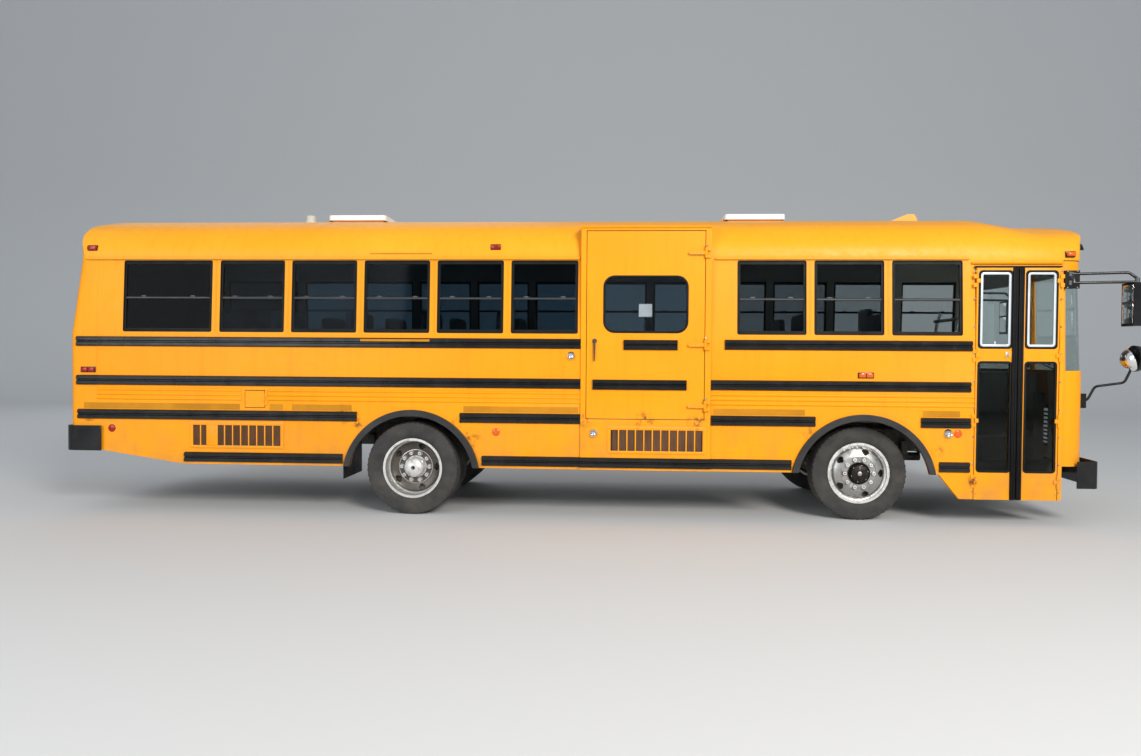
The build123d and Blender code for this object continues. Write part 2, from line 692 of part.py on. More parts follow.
# Rub rails: black double-ridged strips. Columns are first station, last station, bottom height
rails_right = (
    (wall_start, 1675, 1657), (3070, 5400, 1657),
    (wall_start, 1675, 1266), (2940, 5392, 1266),
    (wall_start - 190, -547, 922), (487, 1675, 922), (2944, 3939, 922), (4936, 5394, 922),
    (-2307, -690, 500), (707, 1670, 500), (2940, 3716, 500), (5111, 5392, 500),
)
rails_left = (
    (wall_start, 6180, 1657), (wall_start, 6180, 1266),
    (wall_start - 190, -700, 922), (487, 3720, 922), (4936, 6180, 922),
    (-2307, -690, 500), (707, 3716, 500), (5111, 6180, 500),
)


with BuildPart() as rub_rails:
    for first, last, bottom in rails_right:
        rail_bar(stations(first, last), -half, -1, bottom)
    for first, last, bottom in rails_left:
        rail_bar(stations(first, last), half, 1, bottom)
pieces["rub_rails"] = rub_rails

# Wheel arch flares
with BuildPart() as flares:
    for side in (-1, 1):
        for axle_x in (at(0), front_axle_x):
            with BuildSketch(Plane.XZ.offset(-side * half)):
                with Locations((axle_x, arch_z)):
                    Circle(arch_radius)
                    Circle(arch_radius - flare_band, mode=Mode.SUBTRACT)
                with Locations((axle_x, skirt_z + arch_radius)):
                    Rectangle(2 * arch_radius + 10, 2 * arch_radius, mode=Mode.INTERSECT)
            extrude(amount=-side * flare_proud)
pieces["flares"] = flares

# Condenser grilles in the skirt and the cores behind them
with BuildPart() as skirt_grilles:
    for (first, last), face in zip(grille_openings, (half, half + lift_proud)):
        box(stations(first - 30, last + 30), (-face - 6, -face), grille_z)
        cells = round((last - first) / 80)
        pitch = (last - first) / cells
        for cell in range(cells):
            box(stations(first + cell * pitch + 5, first + (cell + 1) * pitch - 5), (-face - 10, -face + 10),
                (grille_z[0] + 28, grille_z[1] - 40), Mode.SUBTRACT)

core_top = frame_bottom + frame_depth - 4
with BuildPart() as condenser_cores:
    for (first, last), face in zip(grille_openings, (-half + wall, -half + wall - 10)):
        box(stations(first - 20, last + 20), (face + 0.3, face + 90), (grille_z[0], core_top))
with BuildPart() as condensers:
    add(skirt_grilles.part)
    add(condenser_cores.part)
pieces["condensers"] = condensers

# Bumpers
rear_bumper_z = (602, 856)
front_bumper_z = (362, 620)
with BuildPart() as bumper_rear:
    box((at(-rear_reach), rear_x - pin_gap), (-half + 10, half - 10), rear_bumper_z)
    for side in (-1, 1):
        box((at(-rear_reach), at(-3162)), sorted((side * (half + 2), side * (half + 32))), rear_bumper_z)
        box((at(-rear_reach), rear_x - pin_gap), sorted((side * (half - 11), side * (half + 32))), rear_bumper_z)
pieces["bumper_rear"] = bumper_rear

bumper_front_x = at(6600) + 52
bumper_plate = 10
bumper_corner = 60
with BuildPart() as bumper_front:
    with BuildSketch(Plane.XY.offset(front_bumper_z[0])) as plate:
        nose_outline(at(6390), bumper_front_x - 52, half, bumper_corner, nose_bulge)
    extrude(amount=front_bumper_z[1] - front_bumper_z[0])
    with BuildSketch(Plane.XY.offset(front_bumper_z[0] - 1)):
        nose_outline(at(6389), bumper_front_x - 52, half, bumper_corner, nose_bulge, bumper_plate)
    extrude(amount=front_bumper_z[1] - front_bumper_z[0] + 2, mode=Mode.SUBTRACT)
pieces["bumper_front"] = bumper_front

# Leaf springs' places: seats on the axles, and eyes under hangers on the frame
wheel_z = tyre_radius
rear_axle_tube = 74
spring_y = frame_half_width + 52
spring_half = 38
spring_reaches = (620, 520, 400, 270)
spring_leaf_pitch = 14
spring_arch = 0.00018
spring_seats = ((at(0), wheel_z + rear_axle_tube + 0.3), (front_axle_x, wheel_z - 30))
spring_eye_rise = 3 * spring_leaf_pitch + 13 + spring_arch * spring_reaches[0] ** 2

# Chassis frame: two channels joined by cross members, with spring hangers outside
frame_stations = (-3460, 6440)
cross_members = (-3300, -1100, 700, 1700, 2700, 3600, 5050)
with BuildPart() as chassis_frame:
    for side in (-1, 1):
        with BuildSketch(Plane.YZ.offset(at(frame_stations[0]))):
            with BuildLine():
                top = frame_bottom + frame_depth
                outline = [(frame_half_width, frame_bottom), (frame_half_width, top),
                           (frame_half_width - frame_flange, top), (frame_half_width - frame_flange, top - frame_web),
                           (frame_half_width - frame_web, top - frame_web),
                           (frame_half_width - frame_web, frame_bottom + frame_web),
                           (frame_half_width - frame_flange, frame_bottom + frame_web),
                           (frame_half_width - frame_flange, frame_bottom)]
                Polyline(*[(side * y, z) for y, z in outline], close=True)
            make_face()
        extrude(amount=frame_stations[1] - frame_stations[0])
    for member in cross_members:
        box((at(member) - 40, at(member) + 40), (-frame_half_width + frame_web - 1, frame_half_width - frame_web + 1),
            (frame_bottom + 40, frame_bottom + frame_depth - 60))
    for axle_x, seat_z in spring_seats:
        for side in (-1, 1):
            for end in (-1, 1):
                hanger_x = axle_x + end * (spring_reaches[0] - 12)
                box((hanger_x - 30, hanger_x + 30), sorted((side * (frame_half_width - 1), side * (spring_y + spring_half))),
                    (seat_z + spring_eye_rise + 0.3, frame_bottom + 110))
    for side in (-1, 1):
        bracket_y = sorted((side * (frame_half_width - 60), side * frame_half_width))
        box((at(6330), at(frame_stations[1])), bracket_y, (front_bumper_z[0] + 60, frame_bottom + 1))
        box((at(6330), bumper_front_x - bumper_plate - 0.5), bracket_y, (front_bumper_z[0] + 60, fascia_bottom - 10))
pieces["chassis_frame"] = chassis_frame

# Axles, springs and running gear
front_tyre_y = half - front_tyre_recess - tyre_width / 2
rear_outer_y = half - rear_tyre_recess - tyre_width / 2
rear_inner_y = rear_outer_y - dual_spacing
kingpin_y = front_tyre_y - kingpin_offset
kingpin = 22
spindle = 42
hub_bore = spindle + pin_gap

with BuildPart() as front_axle:
    box((front_axle_x - 45, front_axle_x + 45), (-kingpin_y + 120, kingpin_y - 120), (wheel_z - 120, wheel_z - 30))
    for side in (-1, 1):
        box((front_axle_x - 40, front_axle_x + 40), sorted((side * (kingpin_y - 170), side * (kingpin_y - 56))),
            (wheel_z - 119, wheel_z + 48))
        box((front_axle_x - 38, front_axle_x + 38), sorted((side * (kingpin_y - 58), side * (kingpin_y - 25))),
            (wheel_z - 48, wheel_z + 48))
        with Locations((front_axle_x, side * kingpin_y, wheel_z)):
            Cylinder(48, 100)
    for side in (-1, 1):
        with Locations((front_axle_x, side * kingpin_y, wheel_z)):
            Cylinder(kingpin + pin_gap, 300, mode=Mode.SUBTRACT)
pieces["front_axle"] = front_axle

for side_name, side in (("right", -1), ("left", 1)):
    with BuildPart() as knuckle:
        with Locations((front_axle_x, side * kingpin_y, wheel_z)):
            Cylinder(kingpin, 180)
        for end in (-1, 1):
            with Locations((front_axle_x, side * kingpin_y, wheel_z + end * 72)):
                Cylinder(46, 36)
            box((front_axle_x - 45, front_axle_x + 45), sorted((side * kingpin_y, side * (kingpin_y + 82))),
                (wheel_z + end * 72 - 18, wheel_z + end * 72 + 18))
        box((front_axle_x - 60, front_axle_x + 60), sorted((side * (kingpin_y + 56), side * (kingpin_y + 84))),
            (wheel_z - 90, wheel_z + 90))
        with Locations(Location((front_axle_x, side * (kingpin_y + 118), wheel_z), (90, 0, 0))):
            Cylinder(spindle, 88)
    pieces[f"knuckle_{side_name}"] = knuckle

with BuildPart() as rear_axle:
    with Locations(Location((at(0), 0, wheel_z), (90, 0, 0))):
        Cylinder(rear_axle_tube, 2 * (rear_inner_y - 60))
        Cylinder(spindle, 2 * (rear_outer_y - 14))
    with Locations((at(0), 0, wheel_z)):
        Sphere(185)
    with Locations(Location((at(190), 0, wheel_z + 30), (0, 90, 0))):
        Cylinder(80, 130)
pieces["rear_axle"] = rear_axle

with BuildPart() as leaf_springs:
    for axle_x, seat_z in spring_seats:
        for side in (-1, 1):
            for leaf_index, reach in enumerate(spring_reaches):
                low = seat_z + spring_leaf_pitch * (3 - leaf_index)
                with BuildSketch(Plane.XZ.offset(-side * spring_y + 38)):
                    with BuildLine():
                        ThreePointArc((axle_x - reach, low + spring_arch * reach**2), (axle_x, low),
                                      (axle_x + reach, low + spring_arch * reach**2))
                        Line((axle_x + reach, low + spring_arch * reach**2), (axle_x + reach, low + 13 + spring_arch * reach**2))
                        ThreePointArc((axle_x + reach, low + 13 + spring_arch * reach**2), (axle_x, low + 13),
                                      (axle_x - reach, low + 13 + spring_arch * reach**2))
                        Line((axle_x - reach, low + 13 + spring_arch * reach**2), (axle_x - reach, low + spring_arch * reach**2))
                    make_face()
                extrude(amount=-76)
pieces["leaf_springs"] = leaf_springs

# Wheels. A profile's columns are radius, distance outboard of the tyre's middle plane
half_tyre = tyre_width / 2
tyre_side = ((rim_radius + 1.3, 97.7), (rim_radius + 13, 97.7), (rim_radius + 22, 110), (tyre_radius - 80, half_tyre),
             (tyre_radius - 45, half_tyre - 2), (tyre_radius - 8, half_tyre - 22), (tyre_radius, half_tyre - 42))
tyre_profile = tyre_side + tuple((radius, -out) for radius, out in reversed(tyre_side))
barrel_profile = ((rim_radius + 12, -106), (rim_radius + 12, -98), (rim_radius + 1, -98), (rim_radius + 1, 98),
                  (rim_radius + 12, 98), (rim_radius + 12, 106), (rim_radius - 12, 106), (rim_radius - 12, -106))


def revolve_wheel(centre, side, profile, mode=Mode.ADD):
    """Turns a profile about the wheel's axle line."""
    with BuildSketch(Plane(origin=centre, x_dir=(1, 0, 0), z_dir=(0, 0, 1))) as section:
        with BuildLine():
            Polyline(*[(radius, side * out) for radius, out in profile], close=True)
        make_face()
    revolve(section.sketch, axis=Axis(centre, (0, 1, 0)), mode=mode)


def wheel_holes(centre, side, count, circle, radius, depth):
    """Round holes through the disc, on a circle about the axle line."""
    with BuildSketch(Plane(origin=centre, x_dir=(1, 0, 0), z_dir=(0, -1, 0))) as holes:
        with PolarLocations(circle, count):
            Circle(radius)
    extrude(holes.sketch, amount=depth, both=True, mode=Mode.SUBTRACT)


front_disc = ((rim_radius - 11, 40), (rim_radius - 11, 60), (220, 92), (175, 108), (100, 108), (100, 96), (172, 96),
              (215, 78))
front_hub = ((hub_bore, -28), (120, -28), (150, -10), (150, 60), (101, 60), (101, 118), (80, 150), (30, 156),
             (30, 46), (hub_bore, 46))
rear_disc = ((rim_radius - 11, -20), (rim_radius - 11, 4), (240, -28), (170, -46), (100, -46), (100, -60), (172, -60),
             (236, -44))
rear_hub = ((hub_bore, -110), (120, -110), (150, -90), (150, -61), (101, -61), (101, 30), (88, 62), (50, 82),
            (20, 88), (20, -10), (hub_bore, -10))
for side_name, side in (("right", -1), ("left", 1)):
    centre = (front_axle_x, side * front_tyre_y, wheel_z)
    with BuildPart() as tyre:
        revolve_wheel(centre, side, tyre_profile)
    pieces[f"tyre_front_{side_name}"] = tyre
    with BuildPart() as wheel:
        revolve_wheel(centre, side, barrel_profile)
        revolve_wheel(centre, side, front_disc)
        wheel_holes(centre, side, 5, 205, 22, 200)
        revolve_wheel(centre, side, front_hub)
        with BuildSketch(Plane(origin=centre, x_dir=(1, 0, 0), z_dir=(0, side, 0)).offset(100)):
            with PolarLocations(143, 10):
                RegularPolygon(17, 6)
        extrude(amount=38)
    pieces[f"wheel_front_{side_name}"] = wheel

    outer_centre = (at(0), side * rear_outer_y, wheel_z)
    inner_centre = (at(0), side * rear_inner_y, wheel_z)
    with BuildPart() as tyre:
        revolve_wheel(outer_centre, side, tyre_profile)
        revolve_wheel(inner_centre, side, tyre_profile)
    pieces[f"tyre_rear_{side_name}"] = tyre
    with BuildPart() as wheel:
        revolve_wheel(outer_centre, side, barrel_profile)
        revolve_wheel(outer_centre, side, rear_disc)
        wheel_holes(outer_centre, side, 5, 205, 22, 100)
        revolve_wheel(outer_centre, side, rear_hub)
        with BuildSketch(Plane(origin=outer_centre, x_dir=(1, 0, 0), z_dir=(0, side, 0)).offset(-50)):
            with PolarLocations(143, 10):
                RegularPolygon(17, 6)
        extrude(amount=36)
        revolve_wheel(inner_centre, side, barrel_profile)
        inner_disc_out = dual_spacing - 62
        revolve_wheel(inner_centre, side, ((rim_radius - 11, 94), (rim_radius - 11, 106), (240, 210),
                                           (170, inner_disc_out), (120, inner_disc_out), (120, inner_disc_out - 12),
                                           (165, inner_disc_out - 12), (232, 200)))
    pieces[f"wheel_rear_{side_name}"] = wheel

# Drive line, tank and exhaust
engine_block = ((5330, 6280), (-345, 345), (560, 1330))
with BuildPart() as engine:
    box(stations(*engine_block[0]), engine_block[1], engine_block[2])
    for mount in (5520, 6090):
        box(stations(mount - 45, mount + 45), (-frame_half_width + frame_web + 0.3, frame_half_width - frame_web - 0.3),
            (frame_bottom + frame_web + 0.3, frame_bottom + frame_web + 50))
pieces["engine"] = engine

with BuildPart() as drive_shaft:
    shaft = (256, engine_block[0][0] - pin_gap)
    with Locations(Location((at(sum(shaft) / 2), 0, wheel_z + 60), (0, 90, 0))):
        Cylinder(45, shaft[1] - shaft[0])
pieces["drive_shaft"] = drive_shaft

with BuildPart() as fuel_tank:
    box(stations(-2900, -1250), (-frame_half_width + frame_flange + 20, frame_half_width - frame_flange - 20), (480, 800))
    fillet(fuel_tank.edges().filter_by(Axis.X), 60)
    for strap in (-2600, -1550):
        box(stations(strap - 30, strap + 30), (-frame_half_width + frame_web + 0.3, frame_half_width - frame_web - 0.3),
            (frame_bottom + frame_web + 11, frame_bottom + frame_web + 71))
pieces["fuel_tank"] = fuel_tank

with BuildPart() as exhaust:
    with Locations(Location((at(2700), frame_half_width + 180, 620), (0, 90, 0))):
        Cylinder(120, 1100)
    with Locations(Location((at(3500), frame_half_width + 180, 620), (0, 90, 0))):
        Cylinder(50, 600)
    for bar in (2250, 3000, 3650):
        box(stations(bar - 15, bar + 15), (frame_half_width + 170, frame_half_width + 190),
            (640, frame_bottom + frame_depth - 0.3))
pieces["exhaust"] = exhaust

# Cabin fittings: benches, driver's seat, engine cover, dash and wheel
seat_rows = [(-2900 + 760 * row) for row in range(11)]
seat_gap_stations = (1400, 3150)
seat_width = 860
seat_depth = 400
with BuildPart() as bench_seats:
    for side in (-1, 1):
        for row in seat_rows:
            beside_lift = seat_gap_stations[0] < row + seat_depth and row < seat_gap_stations[1]
            if (side < 0 and beside_lift) or (side > 0 and row > 4300):
                continue
            y_range = sorted((side * (half - wall - 15), side * (half - wall - 15 - seat_width)))
            box(stations(row, row + seat_depth), y_range, (floor_z + 330, floor_z + 460))
            box(stations(row - 90, row - pin_gap), y_range, (floor_z + 330, floor_z + 1010))
            leg_y = sorted((side * (half - wall - seat_width + 40), side * (half - wall - seat_width + 80)))
            box(stations(row + 60, row + 100), leg_y, (floor_z, floor_z + 331))
            box(stations(row + 300, row + 340), leg_y, (floor_z, floor_z + 331))
with BuildPart() as driver_seat:
    box(stations(5000, 5430), (560, 1040), (floor_z + 380, floor_z + 500))
    box(stations(4900, 5000 - pin_gap), (560, 1040), (floor_z + 380, floor_z + 1150))
    box(stations(5100, 5340), (700, 900), (floor_z, floor_z + 381))
with BuildPart() as seats:
    add(bench_seats.part)
    add(driver_seat.part)
pieces["seats"] = seats

with BuildPart() as engine_cover:
    box(stations(5250, 6370), (-430, 430), (floor_z, floor_z + 420))
    box(stations(5275, 6400), (-405, 405), (floor_z - 1, floor_z + 395), Mode.SUBTRACT)
pieces["engine_cover"] = engine_cover

with BuildPart() as dashboard:
    box(stations(6060, 6300), (440, nose_half - wall - 0.3), (floor_z + 180, windshield_z[0] - 31))
    with Locations(Location((at(5950), 800, floor_z + 480), (0, -54, 0))):
        Cylinder(24, 372)
    with Locations(Location((at(5800), 800, floor_z + 589), (0, -54, 0))):
        Torus(225, 16)
        Box(440, 30, 14)
pieces["dashboard"] = dashboard

# Mirrors on bent tube arms at both front corners. Tube points are station, distance out, height
mirror_arms = (
    ((6300, 1190, 2395), (6780, 1300, 2400), (6850, 1320, 2340)),
    ((6300, 1190, 2312), (6700, 1282, 2312), (6845, 1318, 2312)),
)
mirror_tube = 13
mirror_head = (6760, 6850)
mirror_head_y = (1225, 1425)
mirror_head_z = (1900, 2300)
cross_arm = ((6504, 1010, 1190), (6560, 1035, 1190), (6620, 1060, 1330), (6860, 1120, 1370), (6935, 1140, 1560))
cross_centre = (6935, 1140, 1600)
cross_radius = 125


def tube(points, side, bend, radius):
    """A round tube along straight runs with tangent bends."""
    route = [(at(station), side * out, z) for station, out, z in points]
    with BuildLine() as path:
        FilletPolyline(*route, radius=bend)
    start = path.wires()[0] @ 0
    direction = path.wires()[0] % 0
    with BuildSketch(Plane(origin=start, z_dir=direction)) as section:
        Circle(radius)
    sweep(section.sketch, path=path.wires()[0])


with BuildPart() as cross_mirror:
    Sphere(cross_radius)
    with Locations((-cross_radius - 12, 0, 0)):
        Box(2 * cross_radius, 3 * cross_radius, 3 * cross_radius, mode=Mode.SUBTRACT)

with BuildPart() as mirrors:
    for side in (-1, 1):
        box(stations(front_post_station + 6, 6385), sorted((side * (nose_half - 31), side * (nose_half + 14))),
            (2258, 2428))
        for arm in mirror_arms:
            tube(arm, side, 45, mirror_tube)
        with Locations((at(sum(mirror_head) / 2), side * sum(mirror_head_y) / 2, sum(mirror_head_z) / 2)):
            Box(mirror_head[1] - mirror_head[0], mirror_head_y[1] - mirror_head_y[0],
                mirror_head_z[1] - mirror_head_z[0])
        box(stations(6835, 6862), sorted((side * 1306, side * 1332)), (2290, 2345))
        box(stations(nose_station + 8, nose_station + 60), sorted((side * 975, side * 1045)), (1120, 1260))
        tube(cross_arm, side, 55, 12)
        add(cross_mirror.part.moved(Location((at(cross_centre[0]), side * cross_centre[1], cross_centre[2]))))
pieces["mirrors"] = mirrors

# Roof furniture: hatch lids on rear hinges, air vent and strobe lamp
hatch_lid_height = 55
hatch_lid = hatch_size + 36
hatch_pin = 5
hatch_lug = 6
hatch_pin_z = crown_z + 22
hatch_pin_offset = hatch_lid / 2 + 12
hatch_hinge_y = (-190, 190)
for hatch_name, hatch_station in zip(("rear", "front"), hatch_stations):
    with BuildPart() as hatch:
        with Locations((at(hatch_station), 0, crown_z + 8 + hatch_lid_height / 2)):
            Box(hatch_lid, hatch_lid, hatch_lid_height)
        fillet(hatch.edges().filter_by(Axis.Z), 40)
        with Locations((at(hatch_station), 0, crown_z + 8 + hatch_lid_height / 2 - 10)):
            Box(hatch_size - 10, hatch_size - 10, hatch_lid_height, mode=Mode.SUBTRACT)
        for hinge_y in hatch_hinge_y:
            with Locations(Location((at(hatch_station) - hatch_pin_offset, hinge_y, hatch_pin_z), (90, 0, 0))):
                Cylinder(hatch_pin + 4.5, 60)
            box((at(hatch_station) - hatch_pin_offset, at(hatch_station) - hatch_lid / 2 + 1), (hinge_y - 30, hinge_y + 30),
                (hatch_pin_z - 4, hatch_pin_z + 9))
            with Locations(Location((at(hatch_station) - hatch_pin_offset, hinge_y, hatch_pin_z), (90, 0, 0))):
                Cylinder(hatch_pin + pin_gap, 80, mode=Mode.SUBTRACT)
    pieces[f"hatch_{hatch_name}"] = hatch

with BuildPart() as hatch_curbs:
    for hatch_station in hatch_stations:
        with BuildSketch(Plane.XY.offset(crown_z - 22)):
            with Locations((at(hatch_station), 0)):
                Rectangle(hatch_opening + 24, hatch_opening + 24)
                Rectangle(hatch_opening - 20, hatch_opening - 20, mode=Mode.SUBTRACT)
        extrude(amount=36)
        for hinge_y in hatch_hinge_y:
            with Locations(Location((at(hatch_station) - hatch_pin_offset, hinge_y, hatch_pin_z), (90, 0, 0))):
                Cylinder(hatch_pin, 104)
            for end in (-1, 1):
                lug_y = hinge_y + end * 42
                box((at(hatch_station) - hatch_pin_offset - 10, at(hatch_station) - hatch_pin_offset + hatch_lug),
                    (lug_y - 9, lug_y + 9), (crown_z - 20, hatch_pin_z + hatch_lug))
    with BuildSketch(Plane.YZ.offset(at(-3000))):
        roof_section(roof_half, crown_z, eave_radius, crown_radius, eave_z)
    extrude(amount=9000, mode=Mode.SUBTRACT)

with BuildPart() as roof_vent:
    with BuildSketch(Plane.XZ.offset(-150)):
        with BuildLine():
            Polyline((at(4920), crown_z - 12), (at(4920), crown_z + 4), (at(5120), crown_z + 85), (at(5190), crown_z + 85),
                     (at(5220), crown_z + 30), (at(5220), crown_z - 12), close=True)
        make_face()
    extrude(amount=300)
    with BuildSketch(Plane.YZ.offset(at(4900))):
        roof_section(roof_half, crown_z, eave_radius, crown_radius, eave_z)
    extrude(amount=400, mode=Mode.SUBTRACT)

with BuildPart() as strobe:
    with Locations((at(-1455), 0, crown_z + 20.3)):
        Cylinder(74, 40)
    with Locations((at(-1455), 0, crown_z + 75)):
        Cylinder(55, 70)
    fillet(strobe.edges().sort_by(Axis.Z)[-1], 20)
with BuildPart() as roof_fittings:
    add(hatch_curbs.part)
    add(roof_vent.part)
    add(strobe.part)
pieces["roof_fittings"] = roof_fittings

# Stop arm on the driver's side, folded back against the wall
stop_hinge = (at(5280), half + 40)
stop_z = 1500
fuel_hinge = (at(fuel_door_stations[1]) + 2, -half - 5)
with BuildPart() as door_hinges:
    add(lift_hinge_pins.part)
    add(rear_hinge_pins.part)
    for leaf_name, outer, meeting, inward in leaves:
        for level in entrance_hinge_levels:
            fixed_knuckles((outer, leaf_hinge_y), level, 60, 3.2, sorted((outer - inward * 34, outer)),
                           (leaf_hinge_y - 2, -half))
    fixed_knuckles(fuel_hinge, sum(fuel_door_z) / 2, 60, 2.6, (fuel_hinge[0], fuel_hinge[0] + 22),
                   (fuel_hinge[1] - 2, -half))
    fixed_knuckles(stop_hinge, stop_z, 120, 6, (stop_hinge[0] - 8, stop_hinge[0] + 46), (half, half + 36))
pieces["door_hinges"] = door_hinges

with BuildPart() as stop_arm:
    with BuildSketch(Plane.XZ.offset(-stop_hinge[1] + 3)):
        with Locations((stop_hinge[0] - 330, stop_z)):
            RegularPolygon(228, 8, major_radius=False, rotation=22.5)
        with Locations((stop_hinge[0] - 94, stop_z)):
            Rectangle(160, 60)
    extrude(amount=6)
    moving_knuckle(stop_hinge, stop_z, 120, 6, (stop_hinge[0] - 60, stop_hinge[0] - 8), (half + 37, half + 43))
pieces["stop_arm"] = stop_arm

# Fuel door, flush in the wall, hinged at its front edge
with BuildPart() as fuel_door:
    box(stations(fuel_door_stations[0] + gap, fuel_door_stations[1] - gap), (-half, -half + 8),
        (fuel_door_z[0] + gap, fuel_door_z[1] - gap))
    moving_knuckle(fuel_hinge, sum(fuel_door_z) / 2, 60, 2.6, (fuel_hinge[0] - 30, fuel_hinge[0] - 2.4),
                   (fuel_hinge[1] - 2, -half + 1))
pieces["fuel_door"] = fuel_door

# Lamps. Side lamps' columns are station, height above the ground, half length, half height
side_bars = ((-3240, 1416, 72, 20), (4404, 1435, 75, 20))
side_reflectors = ((-3067, 829), (845, 835), (5283, 870))
chrome_lamps = ((1580, 1589, 0), (1805, 837, lift_proud), (5190, 869, 0))
with BuildPart() as side_lamps:
    for side in (-1, 1):
        for station, z, half_length, half_height in side_bars:
            box(stations(station - half_length, station + half_length), sorted((side * half, side * (half + 16))),
                (z - half_height, z + half_height))
        for station, z in side_reflectors:
            with Locations(Location((at(station), side * (half + 5), z), (90, 0, 0))):
                Cylinder(36, 10)
    for station, z, out in chrome_lamps:
        with Locations(Location((at(station), -half - out - 12, z), (90, 0, 0))):
            Cylinder(44, 24)

with BuildPart() as tail_lamps:
    for side in (-1, 1):
        for lamp_y, radius in ((880, 90), (650, 60)):
            with Locations(Location((rear_x - 10, side * lamp_y, 1000), (0, 90, 0))):
                Cylinder(radius, 20)
with BuildPart() as lamps:
    add(side_lamps.part)
    add(tail_lamps.part)
pieces["lamps"] = lamps

with BuildPart() as head_lamps:
    for side in (-1, 1):
        for lamp_y in head_lamp_y:
            with Locations(Location((at(nose_station) + 15, side * lamp_y, 900), (0, 90, 0))):
                Cylinder(head_lamp_radius, 50)
pieces["head_lamps"] = head_lamps

for piece_name, piece in pieces.items():
    piece.part.label = piece_name
    export_step(piece.part, f"parts/{piece_name}.step")
print(len(pieces), "pieces")
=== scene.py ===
"""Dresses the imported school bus: paint, rubber, glass, lamps, trim, tyres and cabin, with a plain studio stage.

Everything is in metres in the bus's own frame: +X forward, +Y to the driver's side, +Z up, the ground at Z = 0.
A station is a distance forward of the rear axle. The right side, with the doors, is at negative Y.
"""

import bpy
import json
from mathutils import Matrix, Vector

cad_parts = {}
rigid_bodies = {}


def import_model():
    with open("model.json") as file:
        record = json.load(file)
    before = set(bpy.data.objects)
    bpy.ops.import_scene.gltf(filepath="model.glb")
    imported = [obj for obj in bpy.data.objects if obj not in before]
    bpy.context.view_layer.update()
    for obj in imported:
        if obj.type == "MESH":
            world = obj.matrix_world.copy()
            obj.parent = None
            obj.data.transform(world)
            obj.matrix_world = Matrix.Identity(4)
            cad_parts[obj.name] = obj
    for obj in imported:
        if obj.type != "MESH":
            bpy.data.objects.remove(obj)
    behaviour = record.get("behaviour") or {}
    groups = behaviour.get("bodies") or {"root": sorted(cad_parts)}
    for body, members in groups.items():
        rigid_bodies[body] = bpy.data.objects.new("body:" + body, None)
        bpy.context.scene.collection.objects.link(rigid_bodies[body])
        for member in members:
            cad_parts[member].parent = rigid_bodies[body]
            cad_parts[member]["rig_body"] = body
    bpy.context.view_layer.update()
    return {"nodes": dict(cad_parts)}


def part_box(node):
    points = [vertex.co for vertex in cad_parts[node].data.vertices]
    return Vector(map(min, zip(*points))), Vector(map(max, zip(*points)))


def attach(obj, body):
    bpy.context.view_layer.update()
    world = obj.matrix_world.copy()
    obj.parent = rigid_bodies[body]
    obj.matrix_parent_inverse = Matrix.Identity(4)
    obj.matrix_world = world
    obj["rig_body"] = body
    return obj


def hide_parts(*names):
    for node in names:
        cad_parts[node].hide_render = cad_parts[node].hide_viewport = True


bl_info = {
    "name": "School bus dressing",
    "version": (1, 0, 0),
    "blender": (4, 5, 0),
    "location": "3D View > Sidebar > Bus",
    "description": "Adds the finishes, tyres, lamps, trim and cabin fittings of a school bus to its packed frame",
    "category": "Object",
}

import json
from math import asin, atan2, cos, pi, radians, sin, sqrt

import bmesh
import bpy
from bpy.props import FloatProperty, FloatVectorProperty, IntProperty, PointerProperty
from bpy.types import Operator, Panel, PropertyGroup
from mathutils import Matrix, Vector

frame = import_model()


def node_middle(name):
    """Middle of a CAD node's box."""
    low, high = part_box(name)
    return (low + high) / 2


# Places read from the frame
REAR_AXLE_X = node_middle("tyre_rear_right").x
FRONT_AXLE_X = node_middle("tyre_front_right").x
WHEEL_Z = node_middle("tyre_rear_right").z
FLOOR_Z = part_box("floor")[1].z
REAR_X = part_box("rear_wall")[0].x
BODY_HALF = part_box("rear_wall")[1].y

# Sizes of the body that the trim follows
BELT_Z = 1.775
EAVE_Z = 2.53
TUMBLEHOME = 0.042
SILL_Z = 1.811
HEAD_Z = 2.519
MID_BAR_Z = 2.15
LIFT_PROUD = 0.02
DOOR_FACE = BODY_HALF - 0.004
LIFT_FACE = -(BODY_HALF + LIFT_PROUD)
REAR_LEAN = 0.09
ROOF_HALF = BODY_HALF - TUMBLEHOME
ROOF_TOP = 3.05
CROWN_RADIUS = 3.0
EAVE_RADIUS = 0.38
EAVE_Y = ROOF_HALF - EAVE_RADIUS
CROWN_CENTRE_Z = ROOF_TOP - CROWN_RADIUS
EAVE_CENTRE_Z = CROWN_CENTRE_Z + sqrt((CROWN_RADIUS - EAVE_RADIUS) ** 2 - EAVE_Y**2)


def at(station):
    """X of a distance forward of the rear axle."""
    return REAR_AXLE_X + station


def wall_y(side, z):
    """Outer face of a side wall at a height, with its tumblehome."""
    return side * (BODY_HALF - TUMBLEHOME * max(0.0, z - BELT_Z) / (EAVE_Z - BELT_Z))


def colour_property(name, description, default):
    """A colour setting of the scene."""
    return FloatVectorProperty(name=name, description=description, subtype="COLOR", size=3, min=0, max=1,
                               default=default)


